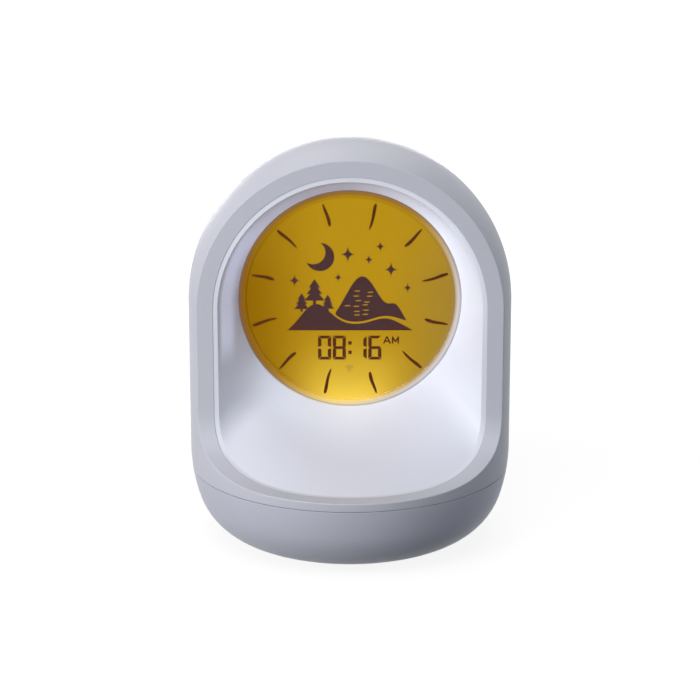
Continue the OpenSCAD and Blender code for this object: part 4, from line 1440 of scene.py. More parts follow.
def dial_film():
    """Printed film behind the lens."""
    back = FILM_HIGH[1]
    edge = GUIDE_R + FIT * 0.8
    profile = [(0, FILM_Y), (GUIDE_R * 0.5, FILM_Y), (edge, FILM_Y)]
    profile += [(edge, back), (GUIDE_R * 0.5, back), (0, back)]
    lathe(profile, DOME_Z, 192, poles=True).build(
        "film", film_amber(), slot="film_amber", replaces=["dial_film"]
    )


# ---- Print of the dial


def slab(shape, outline, front, back, mid=(0, 0), holes=()):
    """Adds a thin closed plate with a flat outline of places across and up, and holes in it."""
    loops = [[Vector((x + mid[0], y + mid[1])) for x, y in loop] for loop in (outline, *holes)]
    faces = []
    for depth in (front, back):
        rows = [shape.row([((v.x, depth, v.y), None) for v in loop]) for loop in loops]
        faces.append(rows)
        fill(shape, [(row, [tuple(v) for v in loop]) for row, loop in zip(rows, loops)])
    for near, far in zip(*faces):
        shape.bridge([near, far])


def stroke(points, width, taper=1.0):
    """Outline of a line through points; taper is the share of the width at its end."""
    points = [Vector(p) for p in points]
    last = len(points) - 1
    left, right = [], []
    for i, point in enumerate(points):
        along = (points[min(i + 1, last)] - points[max(i - 1, 0)]).normalized()
        half = width / 2 * (1 + (taper - 1) * i / last)
        out = Vector((-along.y, along.x)) * half
        left.append(point + out)
        right.append(point - out)
    return [tuple(p) for p in left + right[::-1]]


def arc_stroke(mid, r, start, stop, width, steps=16):
    """Outline of a curved line of even width."""
    return arc(mid, r + width / 2, start, stop, steps) + arc(mid, r - width / 2, stop, start, steps)


# The bars of a digit that are lit: top, upper left, upper right, middle, lower left, lower right, bottom
DIGITS = {"0": "1110111", "1": "0010010", "6": "1101111", "8": "1111111"}

# Shares of a digit's height: its width, a bar's width and the step to the next digit
DIGIT_WIDTH = 0.53
BAR_WIDTH = 0.118
DIGIT_PITCH = 0.592

# Gap between two bars, and how much wider the upright ones are
BAR_GAP = 0.13
UPRIGHT_GAIN = 1.18

# Places of the outer digits across, and the two dots between the pairs
FIRST_DIGIT_X = -9.5
LAST_DIGIT_X = 9.3
DOT_HALF = 0.65
DOT_RISE = 1.82

# Letters beside the digits, and the signal arcs below them
LETTERS_X = 15.4
LETTERS_DROP = 1.7
LETTERS_HEIGHT = 2.75
SIGNAL_PLACE = (-0.2, DOME_Z - 28.4)
SIGNAL_ARCS = (0.9, 1.6, 2.3)
SIGNAL_LINE = 0.34
SIGNAL_DOT = 0.28


def digit_bars(text, mid, height):
    """Outlines of the lit bars of one digit."""
    w, h, t = height * DIGIT_WIDTH, height, height * BAR_WIDTH
    gap = BAR_GAP
    x, y = w / 2, h / 2
    m = t / 2
    thick = t * UPRIGHT_GAIN

    def level(at, cut_low, cut_high):
        """Bar that lies across, with slanted ends."""
        a, b = x - gap - (t if cut_low else 0), x - gap - (t if cut_high else 0)
        return [(-a, at - m), (a, at - m), (b, at + m), (-b, at + m)]

    def upright(side, low, high, low_cut, high_cut):
        """Bar that stands up, with slanted ends."""
        edge, inner = side * x, side * (x - thick)
        return [
            (edge, low + (0 if not low_cut else gap)),
            (inner, low + low_cut),
            (inner, high - high_cut),
            (edge, high - (0 if not high_cut else gap)),
        ]

    def mid_bar():
        reach = x - gap
        return [
            (-reach, 0), (-reach + m, -m), (reach - m, -m),
            (reach, 0), (reach - m, m), (-reach + m, m),
        ]

    bars = [
        level(y - m, True, False),
        upright(-1, gap, y - gap, m, t),
        upright(1, gap, y - gap, m, t),
        mid_bar(),
        upright(-1, gap - y, -gap, t, m),
        upright(1, gap - y, -gap, t, m),
        level(m - y, False, True),
    ]
    lit_bars = [bar_ for bar_, on in zip(bars, DIGITS[text]) if on == "1"]
    return [[(px + mid[0], py + mid[1]) for px, py in bar_] for bar_ in lit_bars]


def letters(mid, height):
    """Outlines of the letters A and M."""
    h, w, t = height, height * 0.92, height * 0.21
    a, m = mid[0] - w * 0.62, mid[0] + w * 0.62
    z = mid[1]
    lines = [
        [(a - w / 2, z - h / 2), (a, z + h / 2)],
        [(a + w / 2, z - h / 2), (a, z + h / 2)],
        [(a - w * 0.3, z - h * 0.17), (a + w * 0.3, z - h * 0.17)],
        [(m - w * 0.42, z - h / 2), (m - w * 0.42, z + h / 2)],
        [(m - w * 0.42, z + h / 2 - t * 0.4), (m, z - h * 0.25)],
        [(m + w * 0.42, z + h / 2 - t * 0.4), (m, z - h * 0.25)],
        [(m + w * 0.42, z - h / 2), (m + w * 0.42, z + h / 2)],
    ]
    return [stroke(line, t) for line in lines]


def time_print():
    """The time, its AM mark and the small signal arcs."""
    shape = Shape()
    height = sizes().digit_height / MM
    pitch = height * DIGIT_PITCH
    first, last = FIRST_DIGIT_X, LAST_DIGIT_X
    for text, x in (("0", first), ("8", first + pitch), ("1", last - pitch), ("6", last)):
        for outline in digit_bars(text, (x, PRINT_Z + DIGIT_Z), height):
            slab(shape, outline, INK_Y, FILM_Y)
    dot = DOT_HALF
    for dz in (-DOT_RISE, DOT_RISE):
        square = [(-dot, -dot), (dot, -dot), (dot, dot), (-dot, dot)]
        slab(shape, square, INK_Y, FILM_Y, (0, PRINT_Z + DIGIT_Z + dz))
    letters_z = PRINT_Z + DIGIT_Z + height / 2 - LETTERS_DROP
    for outline in letters((LETTERS_X, letters_z), LETTERS_HEIGHT):
        slab(shape, outline, INK_Y, FILM_Y)
    shape.build("dial_time", ink("ink_time", 0.9), slot="film_amber")
    faint = Shape()
    for r in SIGNAL_ARCS:
        slab(faint, arc_stroke(SIGNAL_PLACE, r, 50, 130, SIGNAL_LINE, 8), INK_Y, FILM_Y)
    slab(faint, arc(SIGNAL_PLACE, SIGNAL_DOT, 0, 330, 11), INK_Y, FILM_Y)
    faint.build("dial_signal", ink_faint(), slot="film_amber")


def ink_faint():
    """Unlit mark that barely shows through the film."""
    finish = Finish("ink_faint")
    spots = finish.noise(700, 2)
    tone = finish.mix(spots, (0.33, 0.16, 0.006), (0.27, 0.13, 0.005))
    return finish.surface(
        base_color=(0.1, 0.05, 0.01), roughness=0.6, emission_color=tone, emission_strength=1.0
    )


def moved(outline, mid, turn=0.0, size=1.0):
    """Outline that is turned, sized and put in its place."""
    c, s = cos(turn) * size, sin(turn) * size
    return [(mid[0] + x * c - z * s, mid[1] + x * s + z * c) for x, z in outline]


def crescent(r, bite, shift):
    """Moon: a round shape with a bite out of one side."""
    away = hypot(*shift)
    heading = atan2(shift[1], shift[0])
    half = acos((away**2 + r**2 - bite**2) / (2 * away * r))
    inner = acos((away**2 + bite**2 - r**2) / (2 * away * bite))
    outside = [heading + half + (2 * pi - 2 * half) * k / 28 for k in range(29)]
    inside_turns = [heading + pi + inner - 2 * inner * k / 20 for k in range(1, 20)]
    outline = [(r * cos(t), r * sin(t)) for t in outside]
    return outline + [(shift[0] + bite * cos(t), shift[1] + bite * sin(t)) for t in inside_turns]


def sparkle(size):
    """Four-pointed sparkle with hollow sides."""
    outline = []
    for k in range(32):
        turn = k / 32 * 2 * pi
        r = size / (abs(cos(turn)) ** 0.55 + abs(sin(turn)) ** 0.55) ** 1.8
        outline.append((r * cos(turn), r * sin(turn) * 1.2))
    return outline


# A ridge: level of its foot, then height, middle and spread of each of its swells
NEAR_RIDGE = (-9.6, ((8.3, -13.0, 7.6), (2.6, 13.5, 7.0)))
FAR_RIDGE = (-10.5, ((19.5, 4.6, 9.0), (6.0, 17.3, 3.6)))
HILL_HALF = 23.5
HILL_FOOT = -11.8
HILL_STEPS = 96
RIDGE_GAP = 0.8


def ridge_height(ridge, x):
    """Height of a ridge at a place across."""
    foot, swells = ridge
    return foot + sum(high * exp(-(((x - mid) / spread) ** 2)) for high, mid, spread in swells)


def near_hill():
    """Outline of the hill in front, with pointed ends."""
    line = []
    for k in range(1, HILL_STEPS):
        x = HILL_HALF * (2 * k / HILL_STEPS - 1)
        fade = 1 - (x / HILL_HALF) ** 6
        line.append((x, HILL_FOOT + (ridge_height(NEAR_RIDGE, x) - HILL_FOOT) * fade))
    return [(HILL_HALF, HILL_FOOT), *line[::-1], (-HILL_HALF, HILL_FOOT)]


def far_hill():
    """Outline of the hill behind, which stops a little above the hill in front."""
    top, low = [], []
    for k in range(1, HILL_STEPS):
        x = HILL_HALF * (2 * k / HILL_STEPS - 1)
        near = ridge_height(NEAR_RIDGE, x) + RIDGE_GAP
        far = ridge_height(FAR_RIDGE, x)
        if far > near and abs(x) < HILL_HALF - 1.5:
            top.append((x, far))
            low.append((x, near))
    return top[::-1] + low


def fir(size):
    """Fir tree that stands on its place."""
    side = [(0.5, 0), (0.5, 1.2), (3.3, 1.2), (1.5, 3.4), (2.6, 3.4), (1.0, 5.5), (1.9, 5.5)]
    outline = [*side, (0, 8.4), *[(-x, z) for x, z in side[::-1]]]
    return [(x * size, z * size) for x, z in outline]


# Across, up and size of each sparkle; across and size of each fir on the hill in front
SPARKLES = (
    (-0.8, 17.4, 2.6), (7.0, 15.4, 1.6), (15.2, 11.6, 2.4), (21.4, 4.6, 1.6),
    (-20.6, 7.4, 2.1), (-4.4, 8.6, 1.5), (11.2, 20.4, 1.7),
)
FIRS = ((-18.0, 0.85), (-13.2, 1.15), (-8.3, 0.75))
FIR_SINK = 0.4

# Moon: place across and up, radius, and the radius and place of the bite
MOON_PLACE = (-11.2, 16.4)
MOON_R = 5.4
BITE_R = 4.5
BITE_SHIFT = (-2.4, 1.7)


def picture_print():
    """Two hills with firs under a moon and stars."""
    shape = Shape()
    moon = moved(crescent(MOON_R, BITE_R, BITE_SHIFT), MOON_PLACE)
    outlines = [near_hill(), far_hill(), moon]
    outlines += [moved(sparkle(size), mid) for *mid, size in SPARKLES]
    for x, size in FIRS:
        outlines.append(moved(fir(size), (x, ridge_height(NEAR_RIDGE, x) - FIR_SINK)))
    for outline in outlines:
        slab(shape, outline, INK_Y, FILM_Y, (0, PRINT_Z))
    shape.build("dial_picture", ink("ink_picture"), slot="film_amber")


# ================= Repeats made by geometry nodes =================


class Growth:
    """A geometry node tree in the making, with named inputs."""

    def __init__(self, name, inputs):
        self.tree = bpy.data.node_groups.new(name, "GeometryNodeTree")
        self.keys = {}
        self.tree.interface.new_socket("Geometry", in_out="OUTPUT", socket_type="NodeSocketGeometry")
        for label, kind in inputs.items():
            made = self.tree.interface.new_socket(label, in_out="INPUT", socket_type=kind)
            self.keys[label] = made.identifier
        self.source = self.tree.nodes.new("NodeGroupInput")
        self.end = self.tree.nodes.new("NodeGroupOutput")

    def given(self, label):
        return self.source.outputs[label]

    def node(self, kind, inputs=None, output=0, **settings):
        made = self.tree.nodes.new(kind)
        for key, value in settings.items():
            setattr(made, key, value)
        for key, value in (inputs or {}).items():
            if isinstance(value, bpy.types.NodeSocket):
                self.tree.links.new(value, made.inputs[key])
            else:
                made.inputs[key].default_value = value
        return made.outputs[output]

    def math(self, operation, first, second=0.0):
        return self.node("ShaderNodeMath", {0: first, 1: second}, operation=operation)

    def finish(self, instances, material):
        real = self.node("GeometryNodeRealizeInstances", {0: instances})
        dressed = self.node("GeometryNodeSetMaterial", {"Geometry": real, "Material": material})
        self.tree.links.new(dressed, self.end.inputs[0])

    def grow(self, name, values, material, **piece):
        """Runs the tree on an empty mesh and keeps the result as a plain piece."""
        host = bpy.data.objects.new(name + "_host", bpy.data.meshes.new(name + "_host"))
        bpy.context.scene.collection.objects.link(host)
        modifier = host.modifiers.new("grow", "NODES")
        modifier.node_group = self.tree
        for label, value in values.items():
            modifier[self.keys[label]] = value
        graph = bpy.context.evaluated_depsgraph_get()
        mesh = bpy.data.meshes.new_from_object(host.evaluated_get(graph))
        host.modifiers.remove(modifier)
        bpy.data.objects.remove(host)
        shade(mesh)
        return place_piece(mesh, name, material, **piece)


def stroke_ring_tree(material):
    """Tree that stands hand-drawn strokes round a middle, from one turn over equal steps."""
    inputs = {
        "Count": "NodeSocketInt",
        "Outer radius": "NodeSocketFloat",
        "Length": "NodeSocketFloat",
        "Inner width": "NodeSocketFloat",
        "Outer width": "NodeSocketFloat",
        "Thickness": "NodeSocketFloat",
        "First": "NodeSocketFloat",
        "Step": "NodeSocketFloat",
        "Seed": "NodeSocketInt",
        "Middle": "NodeSocketVector",
    }
    grow = Growth("stroke_ring", inputs)
    length, seed = grow.given("Length"), grow.given("Seed")
    size = grow.node(
        "ShaderNodeCombineXYZ", {0: 1.0, 1: grow.given("Thickness"), 2: length}
    )
    block_ = grow.node(
        "GeometryNodeMeshCube",
        {"Size": size, "Vertices X": 3, "Vertices Y": 2, "Vertices Z": 13},
    )
    parts = grow.node("ShaderNodeSeparateXYZ", {0: grow.node("GeometryNodeInputPosition")}).node.outputs
    height = grow.math("DIVIDE", parts[2], length)
    along = grow.math("ADD", height, 0.5)
    ends = grow.math("POWER", grow.math("ABSOLUTE", grow.math("MULTIPLY", height, 2.0)), 5.0)
    inner = grow.given("Inner width")
    gain = grow.math("MULTIPLY", grow.math("SUBTRACT", grow.given("Outer width"), inner), along)
    share = grow.math("ADD", inner, gain)
    share = grow.math("MULTIPLY", share, grow.math("SUBTRACT", 1.0, grow.math("MULTIPLY", ends, 0.6)))
    wave = grow.math("MULTIPLY", grow.math("SINE", grow.math("MULTIPLY", along, 5.0)), 0.22 * MM)
    across = grow.math("ADD", grow.math("MULTIPLY", parts[0], share), wave)
    upward = grow.math("SUBTRACT", parts[2], grow.math("MULTIPLY", length, 0.5))
    place = grow.node("ShaderNodeCombineXYZ", {0: across, 1: parts[1], 2: upward})
    shaped = grow.node("GeometryNodeSetPosition", {0: block_, "Position": place})
    number = grow.node("GeometryNodeInputIndex")
    turn = grow.math("ADD", grow.math("MULTIPLY", number, grow.given("Step")), grow.given("First"))
    reach = grow.given("Outer radius")
    spot = grow.node(
        "ShaderNodeCombineXYZ",
        {
            0: grow.math("MULTIPLY", grow.math("SINE", turn), reach),
            2: grow.math("MULTIPLY", grow.math("COSINE", turn), reach),
        },
    )
    spot = grow.node("ShaderNodeVectorMath", {0: spot, 1: grow.given("Middle")}, operation="ADD")
    spots = grow.node("GeometryNodePoints", {"Count": grow.given("Count"), "Position": spot})
    lean = grow.node("FunctionNodeRandomValue", {2: -0.02, 3: 0.02, "Seed": seed}, output=1)
    tilt = grow.node("ShaderNodeCombineXYZ", {1: grow.math("ADD", turn, lean)})
    span = grow.node("FunctionNodeRandomValue", {2: 0.97, 3: 1.04, "Seed": seed}, output=1)
    stretch = grow.node("ShaderNodeCombineXYZ", {0: 1.0, 1: 1.0, 2: span})
    strokes = grow.node(
        "GeometryNodeInstanceOnPoints",
        {"Points": spots, "Instance": shaped, "Rotation": tilt, "Scale": stretch},
    )
    grow.finish(strokes, material)
    return grow


# Strokes that take turns round the dial: name, count, bearing of the first, step,
# radius of the outer end, share of the length, and the widths of the inner and the outer end
STROKES = (
    ("wide_out", 6, 15, 60, 37.8, 1.12, 0.8, 1.45),
    ("wide_in", 6, 45, 60, 37.8, 1.0, 1.5, 0.85),
)


def stroke_prints():
    """Even ring of strokes round the dial."""
    tick_ink = ink("ink_ticks", 1.0)
    tree = stroke_ring_tree(tick_ink)
    length = sizes().tick_length
    for name, count, first, step, reach, share, inner, outer in STROKES:
        values = {
            "Count": count,
            "Outer radius": reach * MM,
            "Length": length * share,
            "Inner width": inner * MM,
            "Outer width": outer * MM,
            "Thickness": (FILM_Y - INK_Y) * MM,
            "First": radians(first),
            "Step": radians(step),
            "Seed": count,
            "Middle": (0, (INK_Y + FILM_Y) / 2 * MM, PRINT_Z * MM),
        }
        tree.grow("dial_ticks_" + name, values, tick_ink, slot="film_amber")


# Most that a dash moves from its even place, across and up, in metres
DASH_SHIFT = (0.0010, 0.0004)

# Heart of the dashes on the far hill, from the dial's middle, and how proud they stand
DASH_HEART = (4.6, -1.4)
DASH_DEPTH = 0.006


def dash_tree(material):
    """Tree that spreads short level dashes over the far hill, near its heart."""
    inputs = {
        "Width": "NodeSocketFloat",
        "Height": "NodeSocketFloat",
        "Columns": "NodeSocketInt",
        "Rows": "NodeSocketInt",
        "Dash": "NodeSocketVector",
        "Heart": "NodeSocketVector",
        "Reach": "NodeSocketFloat",
        "Middle": "NodeSocketVector",
        "Seed": "NodeSocketInt",
    }
    grow = Growth("dash_field", inputs)
    width, height = grow.given("Width"), grow.given("Height")
    grid = grow.node(
        "GeometryNodeMeshGrid",
        {0: width, 1: height, 2: grow.given("Columns"), 3: grow.given("Rows")},
    )
    spots = grow.node("GeometryNodeMeshToPoints", {0: grid})
    split = grow.node("ShaderNodeSeparateXYZ", {0: grow.node("GeometryNodeInputPosition")})
    parts = split.node.outputs
    low, high = (-DASH_SHIFT[0], -DASH_SHIFT[1], 0), (*DASH_SHIFT, 0)
    jitter = grow.node(
        "FunctionNodeRandomValue", {0: low, 1: high, "Seed": grow.given("Seed")}, data_type="FLOAT_VECTOR"
    )
    shake = grow.node("ShaderNodeSeparateXYZ", {0: jitter}).node.outputs
    across = grow.math("ADD", parts[0], shake[0])
    up = grow.math("ADD", parts[1], shake[1])
    upright = grow.node("ShaderNodeCombineXYZ", {0: across, 2: up})
    spot = grow.node("ShaderNodeVectorMath", {0: upright, 1: grow.given("Middle")}, operation="ADD")
    spots = grow.node("GeometryNodeSetPosition", {0: spots, "Position": spot})
    gap = grow.node(
        "ShaderNodeVectorMath",
        {0: grow.node("GeometryNodeInputPosition"), 1: grow.given("Heart")},
        output=1,
        operation="DISTANCE",
    )
    far = grow.node(
        "FunctionNodeCompare", {0: gap, 1: grow.given("Reach")}, operation="GREATER_THAN"
    )
    spots = grow.node("GeometryNodeDeleteGeometry", {0: spots, 1: far})
    block_ = grow.node("GeometryNodeMeshCube", {0: grow.given("Dash")})
    dashes = grow.node("GeometryNodeInstanceOnPoints", {"Points": spots, "Instance": block_})
    grow.finish(dashes, material)
    return grow


def dash_prints():
    """Unprinted dashes on the far hill, through which the lit film shows."""
    film = film_amber()
    across, up = DASH_HEART
    values = {
        "Width": 0.0125,
        "Height": 0.0126,
        "Columns": 4,
        "Rows": 8,
        "Dash": (0.0019, DASH_DEPTH * MM, 0.00036),
        "Heart": (across * MM, INK_Y * MM, (PRINT_Z + up) * MM),
        "Reach": 0.0058,
        "Middle": (across * MM, (INK_Y - DASH_DEPTH / 2) * MM, (PRINT_Z + up) * MM),
        "Seed": 4,
    }
    dash_tree(film).grow("dial_dashes", values, film, slot="film_amber")


# ================= Back panel =================


# Roundings of the panel's edges, the buttons' holes, and the dish and slot of the socket
PANEL_ROUND = 0.4
BUTTON_HOLE_R = 4.55
BUTTON_HOLE_ROUND = 0.25
DISH_SIZE = (16, 9, 3)
DISH_DEPTH = 0.8
DISH_ROUND = 0.3
SLOT_SIZE = (9.4, 3.6, 1.79)
SLOT_ROUND = 0.15
PANEL_SEED_STEP = 2.5


def button_places():
    """Middle of each push button across and up, from its construction node."""
    made = {}
    for key in KEYS:
        low, high = extent(key + "_button")
        made[key] = ((low[0] + high[0]) / 2, (low[2] + high[2]) / 2, high[1])
    return made


def plane_rows(shape, spots, face_y, r):
    """Rounded edge between the panel's face and a hole's or its own outer side."""
    made = []
    for v, way in spots:
        edge = Vector((v.x, face_y, v.y))
        made.append(round_edge(edge, Vector((0, 1, 0)), Vector((way.x, 0, way.y)), r))
    return shape.rows([list(samples) for samples in zip(*made)])


def rear_panel():
    """Button panel: rounded plate with the button holes and the dish round the socket."""
    shape = Shape()
    back_y = PANEL_Y - PANEL_T
    low, high = extent("power_socket")
    socket_z = (low[2] + high[2]) / 2
    outline = round_rect((0, PANEL_Z), PANEL_W, PANEL_H, POCKET_R - FIT)
    fronts, backs = [], []

    def wall(spots, r, inward, front_y=PANEL_Y, rear_y=back_y, to_back=True):
        way = -1 if inward else 1
        rows = plane_rows(shape, [(v, out * way) for v, out in spots], front_y, r)
        foot = shape.row([((v.x, rear_y, v.y), None) for v, _ in spots])
        shape.bridge(rows + [foot])
        if to_back:
            backs.append((foot, flat_of(shape, foot)))
        return rows[0], foot

    front, _ = wall(outline, PANEL_ROUND, False)
    fronts.append((front, flat_of(shape, front)))
    for x, z, _ in button_places().values():
        front, _ = wall(circle((x, z), BUTTON_HOLE_R, 48), BUTTON_HOLE_ROUND, True)
        fronts.append((front, flat_of(shape, front)))
    dish = round_rect((0, socket_z), *DISH_SIZE, 8, 4)
    floor_y = PANEL_Y - DISH_DEPTH
    front, foot = wall(dish, DISH_ROUND, True, rear_y=floor_y, to_back=False)
    fronts.append((front, flat_of(shape, front)))
    slot_hole = round_rect((0, socket_z), *SLOT_SIZE, 8, 4)
    hole, _ = wall(slot_hole, SLOT_ROUND, True, front_y=floor_y)

    def plane(y, way):
        return lambda flat: (Vector((flat[0], y, flat[1])), Vector((0, way, 0)))

    step = PANEL_SEED_STEP
    seeds = [(x * step, PANEL_Z + z * step) for x in range(-9, 10) for z in range(-10, 11)]
    fill(shape, fronts, seeds, plane(PANEL_Y, 1), 1)
    fill(shape, [(foot, flat_of(shape, foot)), (hole, flat_of(shape, hole))], seeds, plane(floor_y, 1), 0.8)
    fill(shape, backs, seeds, plane(back_y, -1), 1)
    shape.build(
        "button_panel",
        moulded("panel_plastic", colours().panel, 0.5, 1.4),
        slot="panel_plastic",
        replaces=["rear_panel"],
    )


def light_mark():
    """Lamp bulb."""
    bulb = arc((0, 0.35), 1.25, -55, 235, 20)
    ring = bulb + [(x * 0.72, (y - 0.35) * 0.72 + 0.35) for x, y in bulb[::-1]]
    return [ring, stroke([(-0.55, -1.15), (0.55, -1.15)], 0.3), stroke([(-0.4, -1.65), (0.4, -1.65)], 0.3)]


def alarm_mark():
    """Bell."""
    dome = arc((0, 0.3), 1.1, 0, 180, 14)
    outline = dome + [(-1.15, -0.7), (-1.7, -1.1), (1.7, -1.1), (1.15, -0.7)]
    return [outline, arc((0, -1.5), 0.35, 0, 330, 11), stroke([(0, 1.3), (0, 1.75)], 0.4)]


def clock_mark():
    """Clock face."""
    ring = [arc_stroke((0, 0), 1.55, 0, 178, 0.34, 18), arc_stroke((0, 0), 1.55, 180, 358, 0.34, 18)]
    return ring + [stroke([(0, 0), (0, 1.0)], 0.3), stroke([(0, 0), (-0.75, -0.3)], 0.3)]


def minus_mark():
    """Minus sign."""
    return [stroke([(-1.3, 0), (1.3, 0)], 0.45)]


def plus_mark():
    """Plus sign."""
    return [stroke([(-1.3, 0), (1.3, 0)], 0.45), stroke([(0, -1.3), (0, 1.3)], 0.45)]


# How deep a mark starts in its button, and how proud it stands
MARK_SINK = 0.06
MARK_PROUD = 0.05

MARKS = {
    "light": light_mark,
    "alarm": alarm_mark,
    "clock": clock_mark,
    "minus": minus_mark,
    "plus": plus_mark,
}


def button_marks():
    """Raised symbol on each push button, which moves with its key."""
    paint = moulded("mark_grey", (0.12, 0.12, 0.15), 0.5)
    for key, (x, z, top) in button_places().items():
        shape = Shape()
        for outline in MARKS[key]():
            slab(shape, [(-px, pz) for px, pz in outline], top - MARK_SINK, top + MARK_PROUD, (x, z))
        shape.build(key + "_mark", paint, body=key + "_key", slot="button_plastic")


# ================= Carried-over construction nodes =================


def dress(material, *names):
    """Gives construction nodes their material."""
    for name in names:
        mesh_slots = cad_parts[name].material_slots
        for mesh_slot in mesh_slots:
            mesh_slot.material = material


def dress_buttons():
    """Plastic of the buttons and of their plungers."""
    plastic = moulded("button_plastic", colours().button, 0.5, 1.3)
    dress(plastic, *[key + "_button" for key in KEYS])
    dress(moulded("plunger_black", (0.02, 0.02, 0.022), 0.4), *[key + "_plunger" for key in KEYS])


def dress_inside():
    """Materials of the pieces inside the case and of its fasteners."""
    dress(rubber("foot_rubber", (0.045, 0.045, 0.05)), "rubber_feet")
    dress(painted("grille_paint", (0.30, 0.305, 0.36)), "speaker_grille")
    dress(lit("guide_white", (0.9, 0.88, 0.82), 0.2), "light_guide")
    dress(paper("reflector_white", (0.85, 0.85, 0.85)), "reflector_sheet")
    dress(moulded("digit_black", (0.02, 0.02, 0.02)), "digit_module")
    dress(moulded("frame_white", (0.70, 0.70, 0.73)), "display_frame")
    dress(board_green(), "display_board", "night_light_board", "key_board", "main_board")
    dress(lit("led_warm", (1.0, 0.85, 0.5), 1.0), "backlight_leds")
    dress(lit("led_cool", (1.0, 0.97, 0.95), 1.0), "night_light_leds")
    dress(moulded("switch_black", (0.03, 0.03, 0.034), 0.5), "switch_bodies", "main_chips")
    dress(metal("socket_steel", (0.62, 0.63, 0.65), 0.25), "power_socket", "wifi_module")
    dress(painted("speaker_steel", (0.06, 0.06, 0.065)), "speaker_frame")
    dress(paper("cone_paper", (0.03, 0.03, 0.033)), "speaker_cone")
    dress(metal("magnet_ferrite", (0.25, 0.25, 0.26), 0.5), "speaker_magnet")
    dress(paper("gasket_foam", (0.02, 0.02, 0.02), 2500), "speaker_gasket")
    dress(metal("capacitor_can", (0.35, 0.38, 0.48), 0.35), "capacitors")
    dress(moulded("plug_cream", (0.75, 0.70, 0.58)), "board_connectors")
    dress(paper("ribbon_white", (0.70, 0.71, 0.74), 500), "display_ribbon", "key_ribbon")
    dress(rubber("wire_red", (0.40, 0.03, 0.03)), "speaker_wires")
    dress(rubber("wire_white", (0.70, 0.70, 0.70)), "night_light_wires")
    steel = metal("screw_steel", (0.45, 0.46, 0.48), 0.3)
    dress(steel, "housing_screws", "base_screws", "frame_screws", "speaker_screws")
    brass = metal("screw_brass", (0.62, 0.47, 0.2), 0.3)
    dress(brass, "board_screws", "key_board_screws", "main_board_screws")


# ================= Stage =================

CAMERA_PLACE = (0, -0.89395, 0.32842)
CAMERA_FALL = 15.995
CAMERA_LENS = 127.65
CAMERA_SENSOR = 36
FLOOR_REACH = 9
WORLD_TINT = (0.93, 0.95, 1.0, 1)
WORLD_LEVEL = 0.01
LAMP_AIM = (0, 0, 0.08)
PLAIN = (1, 1, 1)

# Lamps: name, place, width, height, power and tint
LAMPS = (
    ("key_lamp", (-0.8, -0.6, 0.35), 0.6, 0.6, 5.0, PLAIN),
    ("low_lamp", (-0.75, -0.7, 0.06), 0.5, 0.1, 3.1, PLAIN),
    ("front_lamp", (-0.12, -0.7, 0.95), 0.8, 0.6, 5.0, PLAIN),
    ("top_lamp", (0.0, 0.0, 1.1), 0.8, 0.8, 1.6, PLAIN),
    ("back_lamp", (0.0, 0.7, 0.8), 0.8, 0.6, 2.4, PLAIN),
    ("right_lamp", (0.97, -0.25, 0.35), 0.7, 0.7, 2.2, (0.88, 0.95, 1.0)),
    ("rear_lamp", (-0.15, 1.1, 0.13), 0.7, 0.2, 2.8, PLAIN),
)


def floor_paint():
    """White for the camera, with a soft shadow; a duller bounce on the clock."""
    finish = Finish("floor_white")
    rays = finish.node("ShaderNodeLightPath")
    seen = rays.socket.node.outputs
    camera, glossy, through = (
        Term(finish, seen[name]) for name in ("Is Camera Ray", "Is Glossy Ray", "Is Transmission Ray")
    )
    shown = camera.most(glossy).most(through)
    tone = finish.mix(shown, (0.050, 0.058, 0.085), (0.20, 0.20, 0.20))
    across, deep, _ = finish.axes(finish.place())
    # Painted shade: the floor's glow is a little dimmer close to the clock
    far = finish.ramp((across * across + deep * deep).root(), 0.12, 0.45)
    light = finish.mix(shown, (0, 0, 0), finish.mix(far, (0.88, 0.88, 0.88), (1, 1, 1)))
    dust = finish.noise(30, 2)
    return finish.surface(
        base_color=tone,
        roughness=0.9 + dust * 0.02,
        specular_ior_level=0.0,
        emission_color=light,
        emission_strength=1.0,
    )


def area_lamp(name, place, width, height, power, tint):
    """Soft rectangular lamp that points at the middle of the clock."""
    data = bpy.data.lights.new(name, "AREA")
    data.shape = "RECTANGLE"
    data.size, data.size_y = width, height
    data.energy = power
    data.color = tint
    lamp = bpy.data.objects.new(name, data)
    lamp.location = place
    lamp.rotation_euler = (Vector(LAMP_AIM) - Vector(place)).to_track_quat("-Z", "Y").to_euler()
    lamp.visible_camera = False
    bpy.context.scene.collection.objects.link(lamp)


